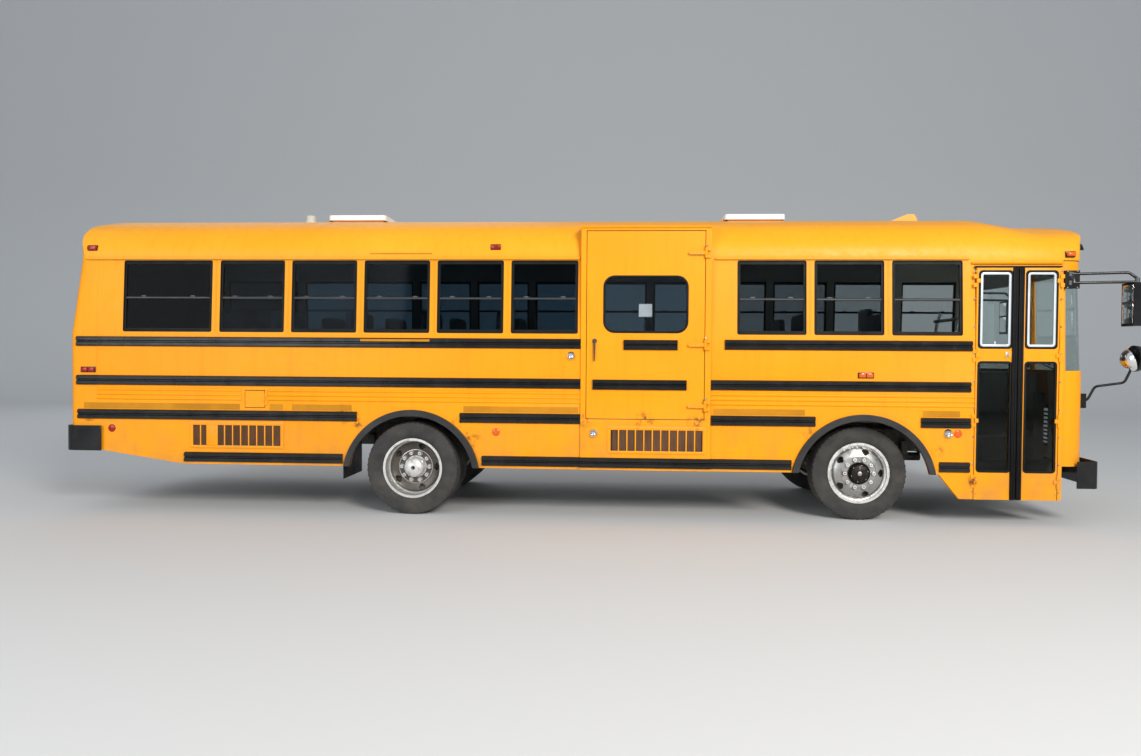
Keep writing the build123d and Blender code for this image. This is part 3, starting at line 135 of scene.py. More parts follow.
class BusPaint(PropertyGroup):
    """Colours of the bus's finishes"""

    yellow: colour_property("Body yellow", "Fleet yellow of the body panels", (0.84, 0.300, 0.002))
    roof_yellow: colour_property("Roof yellow", "Sun-bleached yellow of the roof", (0.84, 0.335, 0.008))
    tape_gold: colour_property("Tape gold", "Reflective tape above the rub rails", (0.44, 0.175, 0.002))
    rail_black: colour_property("Rail black", "Black of rails, bumpers and frames", (0.006, 0.006, 0.0065))
    seat_green: colour_property("Seat cover", "Colour of the bench covers", (0.055, 0.07, 0.075))
    cabin_cream: colour_property("Cabin lining", "Colour of the inner panels", (0.46, 0.45, 0.40))


class BusTyre(PropertyGroup):
    """Sizes of the tyres"""

    tread_depth: FloatProperty(name="Tread depth", description="Depth of the grooves round the tread", default=0.012,
                               min=0, unit="LENGTH")
    lugs: IntProperty(name="Shoulder lugs", description="Lugs round each tyre's shoulder", default=54, min=12)
    groove_width: FloatProperty(name="Groove width", description="Width of a groove round the tread", default=0.009,
                                min=0, unit="LENGTH")


class BusTrim(PropertyGroup):
    """Sizes of the small trim"""

    rivet_radius: FloatProperty(name="Rivet radius", description="Radius of a rivet's head", default=0.0065, min=0,
                                unit="LENGTH")
    rivet_pitch: FloatProperty(name="Rivet pitch", description="Distance between rivets along a seam",
                               default=0.075, min=0.01, unit="LENGTH")


class BusStage(PropertyGroup):
    """Camera and lights"""

    camera_place: FloatVectorProperty(name="Camera place", description="Where the camera stands",
                                      subtype="TRANSLATION", unit="LENGTH", default=(0.3448, -9.7126, 1.5704))
    camera_turn: FloatVectorProperty(name="Camera turn", description="Yaw to the right, pitch up and roll",
                                     subtype="EULER", unit="ROTATION", default=(-0.060072, -0.023146, 0.006911))
    lens: FloatProperty(name="Lens", description="Focal length on a sensor 36 mm wide", default=27.45, min=1,
                        subtype="DISTANCE_CAMERA")


# Shaders


class Finish:
    """A procedural material under construction, with Object coordinates."""

    def __init__(self, name, **sockets):
        self.material = bpy.data.materials.new(name)
        self.material.use_nodes = True
        self.tree = self.material.node_tree
        self.shader = self.tree.nodes["Principled BSDF"]
        self.coordinates = self.tree.nodes.new("ShaderNodeTexCoord")
        for socket, value in sockets.items():
            self.set(socket.replace("_", " "), value)

    def feed(self, slot, value):
        """Gives an input the output of another node, a colour or a plain value."""
        if isinstance(value, bpy.types.NodeSocket):
            self.tree.links.new(value, slot)
        elif slot.type == "RGBA":
            slot.default_value = (*value[:3], 1.0)
        else:
            slot.default_value = value

    def set(self, socket, value):
        """Feeds an input of the shader."""
        self.feed(self.shader.inputs[socket], value)

    def node(self, kind, out, settings=None, **inputs):
        """An output of a new node with settings and inputs. An input is given by name, or by number as i0."""
        made = self.tree.nodes.new(kind)
        for key, value in (settings or {}).items():
            setattr(made, key, value)
        for key, value in inputs.items():
            numbered = key[0] == "i" and key[1:].isdigit()
            self.feed(made.inputs[int(key[1:]) if numbered else key], value)
        return made.outputs[out]

    def math(self, operation, a, b=0.0):
        """One sum, product or comparison."""
        return self.node("ShaderNodeMath", 0, {"operation": operation}, i0=a, i1=b)

    def place(self, stretch=(1, 1, 1), move=(0, 0, 0)):
        """Object coordinates, stretched and moved."""
        return self.node("ShaderNodeMapping", 0, None, Vector=self.coordinates.outputs["Object"], Scale=stretch,
                         Location=move)

    def noise(self, scale, detail=4.0, roughness=0.5, stretch=(1, 1, 1)):
        """Noise over the Object coordinates."""
        return self.node("ShaderNodeTexNoise", 0, None, Vector=self.place(stretch), Scale=scale, Detail=detail,
                         Roughness=roughness)

    def span(self, value, low, high, to_low=0.0, to_high=1.0):
        """Maps a value from one span to another, held at its ends."""
        return self.node("ShaderNodeMapRange", 0, {"clamp": True}, i0=value, i1=low, i2=high, i3=to_low, i4=to_high)

    def axis(self, name):
        """One of the Object coordinates."""
        return self.node("ShaderNodeSeparateXYZ", name, None, i0=self.coordinates.outputs["Object"])

    def mix(self, factor, a, b):
        """A colour between two colours."""
        return self.node("ShaderNodeMix", 2, {"data_type": "RGBA"}, i0=factor, i6=a, i7=b)

    def bump(self, height, strength, distance):
        """Fine relief from a height."""
        self.set("Normal", self.node("ShaderNodeBump", 0, None, Height=height, Strength=strength, Distance=distance))

    def facing_in(self):
        """1 on faces that look to the middle of the cabin, 0 on those that look out."""
        normal = self.coordinates.outputs["Normal"]
        place = self.node("ShaderNodeVectorMath", 0, {"operation": "MULTIPLY"},
                          i0=self.place((1, 1, 1), (0, 0, -1.7)), i1=(0.0, 1.0, 1.0))
        lean = self.node("ShaderNodeVectorMath", 1, {"operation": "DOT_PRODUCT"}, i0=normal, i1=place)
        return self.math("LESS_THAN", lean, -0.02)


def shade(colour, factor):
    """A colour made darker or lighter."""
    return [c * factor for c in colour]


# Spots of rust on the right side. Columns are station, height, radius
RUST_SPOTS = (
    (-0.66, 1.00, 0.10), (-0.55, 0.90, 0.07), (0.60, 0.77, 0.09), (0.45, 0.93, 0.05), (3.90, 0.85, 0.07),
    (-1.40, 0.98, 0.06), (1.72, 0.96, 0.07), (2.30, 0.955, 0.10), (2.80, 0.955, 0.09), (5.10, 0.70, 0.06),
    (5.42, 0.42, 0.05), (-3.30, 0.92, 0.05),
)


def body_paint(name, colour, faded, cabin, rust=False):
    """Fleet paint: faded in patches, streaked below seams, dusty low down, with the cabin's lining inside."""
    paint = Finish(name, Roughness=0.4, Specular_IOR_Level=0.22)
    patches = paint.span(paint.noise(0.9, 3, 0.55), 0.38, 0.68)
    tone = paint.mix(patches, colour, faded)
    streaks = paint.span(paint.noise(5.0, 5, 0.6, (3.2, 3.2, 0.22)), 0.5, 0.78, 0, 0.22)
    tone = paint.mix(streaks, tone, shade(colour, 0.62))
    grime = paint.math("MULTIPLY", paint.span(paint.axis("Z"), 1.15, 0.42, 0, 0.55),
                       paint.span(paint.noise(2.6, 6, 0.65), 0.42, 0.70))
    tone = paint.mix(grime, tone, (0.30, 0.17, 0.06))
    if rust:
        spotted = None
        for station, height, radius in RUST_SPOTS:
            away = paint.node("ShaderNodeVectorMath", 1, {"operation": "DISTANCE"},
                              i0=paint.place((1, 0, 1)), i1=(at(station), 0.0, height))
            spot = paint.span(away, radius * 1.25, radius * 0.3)
            spotted = spot if spotted is None else paint.math("MAXIMUM", spotted, spot)
        edge = paint.span(paint.noise(17.0, 8, 0.72), 0.47, 0.60)
        spotted = paint.math("MULTIPLY", spotted, edge)
        tone = paint.mix(spotted, tone, (0.16, 0.045, 0.012))
    tone = paint.mix(paint.facing_in(), tone, cabin)
    paint.set("Base Color", tone)
    gloss = paint.span(paint.noise(14.0, 4, 0.6), 0.3, 0.7, 0.34, 0.50)
    paint.set("Roughness", gloss)
    grain = paint.math("MULTIPLY", paint.noise(190.0, 2, 0.5), 0.035)
    paint.bump(paint.math("ADD", paint.noise(1.7, 2, 0.4), grain), 0.16, 0.012)
    return paint.material


def plain_finish(name, colour, roughness, metallic=0.0, dust=0.0, dust_colour=(0.32, 0.27, 0.20), grain=60.0,
                 bump=0.08, depth=0.001, **sockets):
    """A finish with patchy gloss, fine grain and dust that gathers low down and in patches."""
    made = Finish(name, Metallic=metallic, **sockets)
    lighter = [min(1.0, c * 1.35 + 0.004) for c in colour]
    tone = made.mix(made.span(made.noise(3.0, 4, 0.6), 0.35, 0.7), colour, lighter)
    if dust:
        low = made.span(made.axis("Z"), 1.4, 0.3, 0.35, 1.0)
        settled = made.math("MULTIPLY", made.span(made.noise(5.0, 7, 0.7), 0.40, 0.72, 0, dust), low)
        tone = made.mix(settled, tone, dust_colour)
    made.set("Base Color", tone)
    made.set("Roughness", made.span(made.noise(9.0, 5, 0.6), 0.3, 0.7, max(0.02, roughness - 0.08), roughness + 0.1))
    if bump:
        made.bump(made.noise(grain, 4, 0.6), bump, depth)
    return made.material


def glass_finish(name, tint, roughness=0.02, ior=1.45):
    """Glass with a slight ripple, in one tint or in zones that a function mixes."""
    made = Finish(name, Roughness=roughness, Transmission_Weight=1.0, IOR=ior)
    made.set("Base Color", tint(made) if callable(tint) else tint)
    made.bump(made.noise(1.3, 1, 0.4), 0.02, 0.01)
    return made.material


def side_tint_and_painted_sky(made):
    """The side windows' tint: nearly black in the rearmost, clear in the driver's, and blue-grey between, which is a
    painted reflection of the sky over a dark tint.
    """
    # Painted reflection: the blue-grey of the middle windows stands for the sky they reflect
    middle = made.mix(made.span(made.axis("X"), at(-1.98), at(-1.96)), (0.010, 0.012, 0.012), (0.15, 0.22, 0.27))
    front = made.mix(made.span(made.axis("X"), at(4.60), at(4.64)), (0.30, 0.34, 0.36), (0.66, 0.70, 0.70))
    return made.mix(made.span(made.axis("X"), at(2.98), at(3.02)), middle, front)


def leaf_tint(made):
    """The entrance leaves' tint: clear above and smoked in the lower panes."""
    return made.mix(made.span(made.axis("Z"), 1.60, 1.65), (0.30, 0.34, 0.31), (0.80, 0.88, 0.88))


def lens_finish(name, colour):
    """A coloured plastic lens."""
    return Finish(name, Base_Color=colour, Roughness=0.2, Transmission_Weight=0.2).material


def rusty_metal(name, colour, rust_colour, amount, roughness, metallic=0.9):
    """Bare or thinly painted metal with rust in its pits and brake dust over it."""
    made = Finish(name, Metallic=metallic)
    rust = made.span(made.noise(11.0, 8, 0.72), 0.62 - amount, 0.74 - amount * 0.6)
    tone = made.mix(made.span(made.noise(4.0, 5, 0.6), 0.35, 0.7), colour, shade(colour, 0.6))
    made.set("Base Color", made.mix(rust, tone, rust_colour))
    made.set("Metallic", made.span(rust, 0, 1, metallic, 0.05))
    made.set("Roughness", made.span(rust, 0, 1, roughness, 0.85))
    made.bump(made.noise(55.0, 6, 0.7), 0.12, 0.0015)
    return made.material


def wheel_finish(name, centre_x, hub_colour, dish_colour, lip_colour, dish_metal):
    """A wheel's zones from the hub out, split by the distance from its axle line, with painted shade in the ring
    between the dish and the lip.
    """
    made = Finish(name, Metallic=0.6)
    away = made.node("ShaderNodeVectorMath", 1, {"operation": "DISTANCE"}, i0=made.place((1, 0, 1)),
                     i1=(centre_x, 0.0, WHEEL_Z))
    past_hub = made.span(away, 0.108, 0.111)
    past_dish = made.span(away, 0.252, 0.257)
    # Painted shade: the groove between the dish and the lip is darkened as if it lay in shadow
    groove = made.math("MULTIPLY", made.span(away, 0.232, 0.238), made.span(away, 0.257, 0.252))
    tone = made.mix(past_dish, made.mix(past_hub, hub_colour, dish_colour), lip_colour)
    tone = made.mix(made.math("MULTIPLY", groove, 0.75), tone, (0.055, 0.05, 0.045))
    stain = made.span(made.noise(14.0, 8, 0.7), 0.50, 0.72, 0, 0.75)
    tone = made.mix(stain, tone, (0.10, 0.065, 0.045))
    made.set("Base Color", tone)
    metal = made.span(past_dish, 0, 1, dish_metal, 0.75)
    made.set("Metallic", made.math("MULTIPLY", metal, made.span(stain, 0, 1, 1, 0.3)))
    made.set("Roughness", made.span(made.noise(20.0, 4, 0.6), 0.3, 0.7, 0.24, 0.46))
    made.bump(made.noise(60.0, 6, 0.7), 0.12, 0.0012)
    return made.material


def roof_fitting(name, colour):
    """Painted roof fittings, with the rearmost, a lamp's base, in pale plastic."""
    made = Finish(name, Roughness=0.45)
    ahead = made.span(made.axis("X"), at(-1.36), at(-1.35))
    patch = made.span(made.noise(6.0, 4, 0.6), 0.35, 0.7)
    pale = made.mix(patch, (0.52, 0.50, 0.42), (0.62, 0.60, 0.52))
    made.set("Base Color", made.mix(ahead, pale, made.mix(patch, colour, shade(colour, 0.92))))
    made.bump(made.noise(80.0, 4, 0.6), 0.08, 0.001)
    return made.material


def core_finish(name, colour):
    """A painted grille frame with brown fins where it lies deeper than the body's face."""
    made = Finish(name, Roughness=0.5)
    face = made.span(made.axis("X"), at(1.0), at(1.1), -BODY_HALF + 0.0015, LIFT_FACE + 0.0015)
    deep = made.math("GREATER_THAN", made.axis("Y"), face)
    rust = made.span(made.noise(9.0, 7, 0.7), 0.35, 0.65)
    made.set("Base Color", made.mix(deep, colour, made.mix(rust, (0.085, 0.035, 0.014), (0.20, 0.095, 0.035))))
    made.bump(made.noise(90.0, 5, 0.6), 0.2, 0.001)
    return made.material


# Materials by a plain name, filled by make_finishes
FINISHES = {}


def make_finishes(paint):
    """All the materials, by a plain name."""
    yellow = tuple(paint.yellow)
    cream = tuple(paint.cabin_cream)
    black = tuple(paint.rail_black)
    FINISHES.update({
        "side": body_paint("side_paint", yellow, shade(yellow, 1.08), cream, rust=True),
        "roof": body_paint("roof_paint", tuple(paint.roof_yellow), (0.88, 0.37, 0.016), cream),
        "black": plain_finish("black_enamel", black, 0.20, dust=0.03, Specular_IOR_Level=0.28),
        "rubber": plain_finish("flare_rubber", (0.010, 0.010, 0.011), 0.42, dust=0.08, grain=140.0, bump=0.10,
                               Specular_IOR_Level=0.4),
        "gasket": plain_finish("gasket_rubber", (0.004, 0.004, 0.004), 0.5, grain=200.0, Specular_IOR_Level=0.14),
        "chassis": plain_finish("chassis_black", (0.018, 0.017, 0.016), 0.62, dust=0.7, bump=0.2, depth=0.003),
        "tyre": plain_finish("tyre_rubber", (0.018, 0.0175, 0.017), 0.75, dust=0.35, dust_colour=(0.13, 0.11, 0.085),
                             grain=220.0, bump=0.2),
        # The front dish's darker steel is partly painted shade, standing in for the shadows round the nuts
        "front_rim": wheel_finish("front_wheel_steel", FRONT_AXLE_X, (0.020, 0.019, 0.018), (0.36, 0.355, 0.345),
                                  (0.72, 0.71, 0.69), 0.8),
        "rear_rim": wheel_finish("rear_wheel_steel", REAR_AXLE_X, (0.66, 0.65, 0.62), (0.085, 0.072, 0.060),
                                 (0.66, 0.65, 0.62), 0.35),
        "chrome": plain_finish("bright_chrome", (0.78, 0.78, 0.79), 0.12, metallic=1.0, bump=0.02),
        "aluminium": plain_finish("window_aluminium", (0.44, 0.47, 0.50), 0.4, metallic=0.25, bump=0.03),
        "bar": plain_finish("sash_bar", (0.030, 0.031, 0.034), 0.4, grain=90.0),
        "fittings": roof_fitting("roof_fittings", tuple(paint.roof_yellow)),
        "core": core_finish("core_fins_and_frame", yellow),
        "steel": rusty_metal("worn_steel", (0.42, 0.42, 0.41), (0.12, 0.06, 0.035), 0.14, 0.45),
        "iron": rusty_metal("cast_iron", (0.07, 0.066, 0.062), (0.10, 0.05, 0.03), 0.2, 0.6, 0.5),
        # The side windows' glass carries a painted sky reflection in its middle windows
        "dark_glass": glass_finish("tinted_glass_and_painted_sky", side_tint_and_painted_sky, 0.03, 1.12),
        "lift_glass": glass_finish("lift_window_glass", (0.42, 0.48, 0.52), ior=1.25),
        "leaf_glass": glass_finish("entrance_leaf_glass", leaf_tint, 0.03, 1.2),
        "clear_glass": glass_finish("clear_glass", (0.80, 0.86, 0.84)),
        "mirror": plain_finish("mirror_glass", (0.85, 0.87, 0.88), 0.02, metallic=1.0, bump=0),
        "tape": plain_finish("reflective_tape", tuple(paint.tape_gold), 0.5, grain=300.0, bump=0.1,
                             Specular_IOR_Level=0.2),
        "seat": plain_finish("bench_cover", tuple(paint.seat_green), 0.45, grain=320.0, bump=0.3),
        "plastic": plain_finish("grey_plastic", (0.07, 0.072, 0.075), 0.5, grain=260.0, bump=0.15),
        "white": plain_finish("white_shell", (0.78, 0.78, 0.75), 0.4, dust=0.2),
        "red_lens": lens_finish("red_lens", (0.36, 0.006, 0.003)),
        "amber_lens": lens_finish("amber_lens", (0.80, 0.12, 0.004)),
        "clear_lens": glass_finish("clear_lens", (0.93, 0.94, 0.94), 0.04),
        "fins": plain_finish("core_fins", (0.13, 0.055, 0.02), 0.6, dust=0.5, dust_colour=(0.22, 0.12, 0.05),
                             grain=120.0, bump=0.4),
        "sign_red": plain_finish("sign_red", (0.55, 0.02, 0.015), 0.35),
        "sign_white": plain_finish("sign_white", (0.8, 0.8, 0.78), 0.35),
        "cloth_floor": plain_finish("cabin_floor_rubber", (0.035, 0.035, 0.036), 0.6, grain=90.0),
    })


# Mesh tools


def turn_to(direction):
    """A rotation that takes +Z to a direction."""
    return Vector((0, 0, 1)).rotation_difference(Vector(direction)).to_matrix().to_4x4()


def to_mesh(bm, name):
    """A new mesh from a bmesh, which is freed."""
    mesh = bpy.data.meshes.new(name)
    bm.to_mesh(mesh)
    bm.free()
    return mesh


def join_mesh(bm, part, name):
    """Adds a bmesh to another and frees it."""
    mesh = to_mesh(part, name)
    bm.from_mesh(mesh)
    bpy.data.meshes.remove(mesh)


def new_object(name, data):
    """An object in the scene."""
    made = bpy.data.objects.new(name, data)
    bpy.context.scene.collection.objects.link(made)
    return made


def faces_of(verts):
    """The faces that meet at vertices."""
    return {face for vert in verts for face in vert.link_faces}


def set_finish(faces, finish):
    """Gives faces a finish, by its number in their piece's list."""
    for face in faces:
        face.material_index = finish


def add_block(bm, low, high, rounding=0.0, segments=2, finish=0):
    """A block between two opposite corners, with its edges rounded."""
    low, high = Vector(low), Vector(high)
    size = Matrix.Diagonal((*[abs(s) for s in high - low], 1))
    verts = bmesh.ops.create_cube(bm, size=1, matrix=Matrix.Translation((low + high) / 2) @ size)["verts"]
    if rounding:
        edges = list({edge for vert in verts for edge in vert.link_edges})
        made = bmesh.ops.bevel(bm, geom=edges, offset=rounding, segments=segments, affect="EDGES", profile=0.5,
                               material=-1, offset_type="OFFSET", clamp_overlap=True)
        verts = {vert for face in made["faces"] for vert in face.verts} | {v for v in verts if v.is_valid}
    set_finish(faces_of(verts), finish)


def add_rod(bm, start, end, radius, segments=16, end_radius=None, finish=0):
    """A cylinder or cone between two points."""
    start, end = Vector(start), Vector(end)
    axis = end - start
    matrix = Matrix.Translation((start + end) / 2) @ turn_to(axis)
    made = bmesh.ops.create_cone(bm, cap_ends=True, cap_tris=False, segments=segments, radius1=radius,
                                 radius2=radius if end_radius is None else end_radius, depth=axis.length,
                                 matrix=matrix)
    set_finish(faces_of(made["verts"]), finish)


def add_turned(bm, profile, origin, axis, segments=48, finish=0):
    """A profile of (radius, height) pairs turned round an axis from an origin."""
    part = bmesh.new()
    axis = Vector(axis).normalized()
    turn = turn_to(axis)
    verts = [part.verts.new(Vector(origin) + turn @ Vector((radius, 0, height))) for radius, height in profile]
    edges = [part.edges.new(pair) for pair in zip(verts, verts[1:])]
    bmesh.ops.spin(part, geom=verts + edges, cent=origin, axis=axis, dvec=(0, 0, 0), angle=2 * pi, steps=segments,
                   use_merge=True, use_duplicate=False)
    bmesh.ops.remove_doubles(part, verts=part.verts, dist=0.00002)
    bmesh.ops.recalc_face_normals(part, faces=part.faces)
    set_finish(part.faces, finish)
    join_mesh(bm, part, "turned")


def add_tube(bm, points, radius, segments=12, finish=0):
    """A round tube through points, with smooth bends."""
    curve = bpy.data.curves.new("tube", "CURVE")
    curve.dimensions = "3D"
    curve.bevel_depth = radius
    curve.bevel_resolution = segments // 4
    curve.use_fill_caps = True
    curve.resolution_u = 6
    spline = curve.splines.new("NURBS")
    spline.points.add(len(points) - 1)
    for point, place in zip(spline.points, points):
        point.co = (*place, 1.0)
    spline.order_u = 3
    spline.use_endpoint_u = True
    holder = new_object("tube", curve)
    mesh = bpy.data.meshes.new_from_object(holder.evaluated_get(bpy.context.evaluated_depsgraph_get()))
    bpy.data.objects.remove(holder)
    bpy.data.curves.remove(curve)
    for polygon in mesh.polygons:
        polygon.material_index = finish
    bm.from_mesh(mesh)
    bpy.data.meshes.remove(mesh)


def make_piece(name, bm, finishes, body, angle=35.0, recalculate=True):
    """Turns a bmesh into a piece that rides on a body, with named finishes."""
    if recalculate:
        bmesh.ops.recalc_face_normals(bm, faces=bm.faces)
    mesh = to_mesh(bm, name)
    mesh.shade_smooth()
    mesh.set_sharp_from_angle(angle=radians(angle))
    piece = new_object(name, mesh)
    for finish in finishes:
        mesh.materials.append(FINISHES[finish])
    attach(piece, body)
    return piece


def round_edges(piece, width, angle, harden):
    """Rounds a piece's edges that are sharper than an angle."""
    bevel = piece.modifiers.new("edge", "BEVEL")
    bevel.width, bevel.segments = width, 2
    bevel.limit_method, bevel.angle_limit = "ANGLE", radians(angle)
    bevel.harden_normals = harden
    bevel.use_clamp_overlap = True


def panel_copy(node, finish, width):
    """A merged copy of a CAD node with smooth curves and rounded edges, which stands for the node."""
    source = frame["nodes"][node]
    bm = bmesh.new()
    bm.from_mesh(source.data)
    bmesh.ops.remove_doubles(bm, verts=bm.verts, dist=0.00005)
    bmesh.ops.dissolve_limit(bm, angle_limit=radians(0.5), verts=bm.verts, edges=bm.edges, delimit={"NORMAL"})
    set_finish(bm.faces, 0)
    piece = make_piece(f"{node}_dressed", bm, [finish], source["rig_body"], SMOOTH_ANGLE,
                       recalculate=False)
    if width:
        round_edges(piece, width, SMOOTH_ANGLE, True)
    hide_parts(node)


def paint_node(node, finish):
    """Gives a CAD node a finish."""
    slots = frame["nodes"][node].data.materials
    slots.clear()
    slots.append(FINISHES[finish])


# Faces of a copied node that meet at less than this many degrees shade as one curve
SMOOTH_ANGLE = 28.0
# Finishes of CAD nodes. Columns are node, finish, width of the edge rounding, or None to keep the CAD mesh
NODE_FINISHES = (
    ("roof", "roof", 0), ("rear_cap", "roof", 0), ("front_cap", "roof", 0),
    ("side_wall_right", "side", 0.0015), ("side_wall_left", "side", 0.0015), ("rear_wall", "side", 0),
    ("front_fascia", "side", 0), ("lift_frame", "side", 0.003), ("lift_door", "side", 0.003),
    ("rear_door", "side", 0.002), ("fuel_door", "side", 0.002), ("door_hinges", "side", None),
    ("floor", "cloth_floor", None), ("entrance_steps", "cloth_floor", None), ("rub_rails", "black", 0),
    ("flares", "rubber", 0.004), ("window_frames", "gasket", None), ("condensers", "core", None),
    ("front_grille", "black", None), ("bumper_front", "black", 0.003),
    ("chassis_frame", "chassis", None), ("front_axle", "chassis", None), ("rear_axle", "chassis", 0),
    ("leaf_springs", "chassis", None), ("drive_shaft", "chassis", 0), ("knuckle_right", "chassis", None),
    ("knuckle_left", "chassis", None), ("engine", "iron", None), ("fuel_tank", "steel", 0), ("exhaust", "steel", 0),
    ("window_panes", "dark_glass", None), ("lift_door_glass", "lift_glass", None),
    ("windshield", "clear_glass", None), ("entrance_glass_rear", "leaf_glass", None),
    ("entrance_glass_front", "leaf_glass", None), ("entrance_leaf_rear", "side", 0.002),
    ("entrance_leaf_front", "side", 0.002), ("wheel_front_right", "front_rim", 0),
    ("wheel_front_left", "front_rim", 0), ("wheel_rear_right", "rear_rim", 0), ("wheel_rear_left", "rear_rim", 0),
    ("engine_cover", "plastic", 0.004), ("dashboard", "plastic", 0.003),
    ("mirrors", "black", 0.002), ("hatch_rear", "white", 0.003), ("hatch_front", "white", 0.003),
    ("roof_fittings", "fittings", 0.003), ("stop_arm", "sign_red", None),
)


class BUS_OT_panels(Operator):
    """Finish the CAD nodes, with smooth rounded copies for the curved and painted ones"""

    bl_idname = "bus.panels"
    bl_label = "Panels and finishes"

    def execute(self, context):
        make_finishes(context.scene.bus_paint)
        for node, finish, edge in NODE_FINISHES:
            if edge is None:
                paint_node(node, finish)
            else:
                panel_copy(node, finish, edge)
        return {"FINISHED"}


# Tyres

TYRE_WIDTH = 0.254
RIM_RADIUS = 0.286
SHOULDER = 0.36 * TYRE_WIDTH
SHOULDER_DEPTH = 0.030
LUG_DEPTH = 0.008


def tyre_profile(radius, groove_width, tread_depth):
    """A tyre's section as (across, radius), from one bead over the tread to the other."""
    half = TYRE_WIDTH / 2
    side = [(half * 0.70, RIM_RADIUS + 0.004), (half * 0.80, RIM_RADIUS + 0.010), (half * 0.90, RIM_RADIUS + 0.022),
            (half * 0.985, RIM_RADIUS + 0.050), (half, RIM_RADIUS + 0.078), (half * 0.985, RIM_RADIUS + 0.108),
            (half * 0.955, radius - 0.036), (half * 0.93, radius - 0.016), (half * 0.90, radius - 0.005),
            (half * 0.84, radius - 0.001)]
    tread = []
    for groove in (0.60, 0.20):
        middle = half * groove
        for across, sunk in ((0.5, 0), (0.32, 1), (-0.32, 1), (-0.5, 0)):
            tread.append((middle + across * groove_width * 1.6, radius - sunk * tread_depth))
    right = side + tread
    return [(-a, r) for a, r in right] + [(a, r) for a, r in reversed(right)]


def one_tyre(centre, sizes):
    """A bmesh of one tyre, with grooves round it and notched shoulders."""
    profile = tyre_profile(WHEEL_Z, sizes.groove_width, sizes.tread_depth)
    bm = bmesh.new()
    x, y, z = centre
    verts = [bm.verts.new((x, y + across, z + r)) for across, r in profile]
    edges = [bm.edges.new(pair) for pair in zip(verts, verts[1:])]
    step = 2 * pi / sizes.lugs
    bmesh.ops.spin(bm, geom=verts + edges, cent=centre, axis=(0, 1, 0), dvec=(0, 0, 0), angle=step, steps=3)
    for vert in bm.verts:
        flat = Vector((vert.co.x - x, 0, vert.co.z - z))
        turned = atan2(flat.x, flat.z) / step * 3
        across = abs(vert.co.y - y)
        if across > SHOULDER and flat.length > WHEEL_Z - SHOULDER_DEPTH and 0.9 < abs(turned) < 2.1:
            vert.co -= flat.normalized() * LUG_DEPTH
    bmesh.ops.spin(bm, geom=bm.verts[:] + bm.edges[:] + bm.faces[:], cent=centre, axis=(0, 1, 0),
                   dvec=(0, 0, 0), angle=2 * pi - step, steps=sizes.lugs - 1, use_duplicate=True)
    bmesh.ops.remove_doubles(bm, verts=bm.verts, dist=0.0002)
    bmesh.ops.recalc_face_normals(bm, faces=bm.faces)
    return bm


class BUS_OT_tyres(Operator):
    """Model the six tyres with their treads and sidewalls"""

    bl_idname = "bus.tyres"
    bl_label = "Tyres"

    def execute(self, context):
        sizes = context.scene.bus_tyre
        for side_name in ("right", "left"):
            for axle in ("front", "rear"):
                node = f"tyre_{axle}_{side_name}"
                low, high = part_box(node)
                middle = (low + high) / 2
                reach = (high.y - low.y - TYRE_WIDTH) / 2
                bm = bmesh.new()
                for shift in ((-reach, reach) if axle == "rear" else (0,)):
                    join_mesh(bm, one_tyre((middle.x, middle.y + shift, WHEEL_Z), sizes), "tyre")
                piece = make_piece(f"{node}_dressed", bm, ["tyre"], frame["nodes"][node]["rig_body"], 40,
                                   recalculate=False)
                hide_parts(node)
        return {"FINISHED"}


# Shapes shared by the trim


def roof_y(side, z):
    """Outer face of the roof's side at a height, round its eave."""
    above = z - EAVE_CENTRE_Z
    return side * (ROOF_HALF if above < 0 else EAVE_Y + sqrt(max(0.0, EAVE_RADIUS**2 - above**2)))


def lift_y(side, z):
    """Outer face of the lift door and its frame, upright at any height; called as wall_y is."""
    return LIFT_FACE


def add_prism(bm, points, shift, finish=0):
    """A flat outline of 3D points drawn out along a vector, closed at both ends."""
    verts = [bm.verts.new(point) for point in points]
    first = bm.faces.new(verts)
    made = bmesh.ops.extrude_edge_only(bm, edges=first.edges[:])["geom"]
    moved = [part for part in made if isinstance(part, bmesh.types.BMVert)]
    bmesh.ops.translate(bm, vec=shift, verts=moved)
    rim = [part for part in made if isinstance(part, bmesh.types.BMEdge) and part.is_boundary]
    bmesh.ops.holes_fill(bm, edges=rim, sides=0)
    set_finish(faces_of(verts + moved), finish)


def add_strip(bm, section, first, last, face_y, bottom, side=-1, finish=0):
    """A section of (out, up) pairs drawn along X between two stations."""
    points = [(at(first), face_y + side * out, bottom + up) for out, up in section]
    add_prism(bm, points, (last - first, 0, 0), finish)


def rounded_outline(middle_x, middle_z, width, height, radius, steps=6):
    """A rectangle with round corners, as (x, z) pairs."""
    points = []
    for turn in range(4):
        corner_x = middle_x + (width / 2 - radius) * (1 if turn in (0, 3) else -1)
        corner_z = middle_z + (height / 2 - radius) * (1 if turn < 2 else -1)
        for step in range(steps + 1):
            angle = radians(90 * turn + 90 * step / steps)
            points.append((corner_x + radius * cos(angle), corner_z + radius * sin(angle)))
    return points


def side_place(side, face=None):
    """Places (along, up, out) on a side wall, or on a flat face at a Y."""
    if face is None:
        return lambda x, z, out: (x, wall_y(side, z) + side * out, z)
    return lambda x, z, out: (x, face + side * out, z)


def rear_place(proud):
    """Places (across, up, out) on the rear wall, which leans above the belt, or proud of it."""
    return lambda y, z, out: (REAR_X + REAR_LEAN * max(0.0, z - BELT_Z) / (EAVE_Z - BELT_Z) - proud - out, y, z)


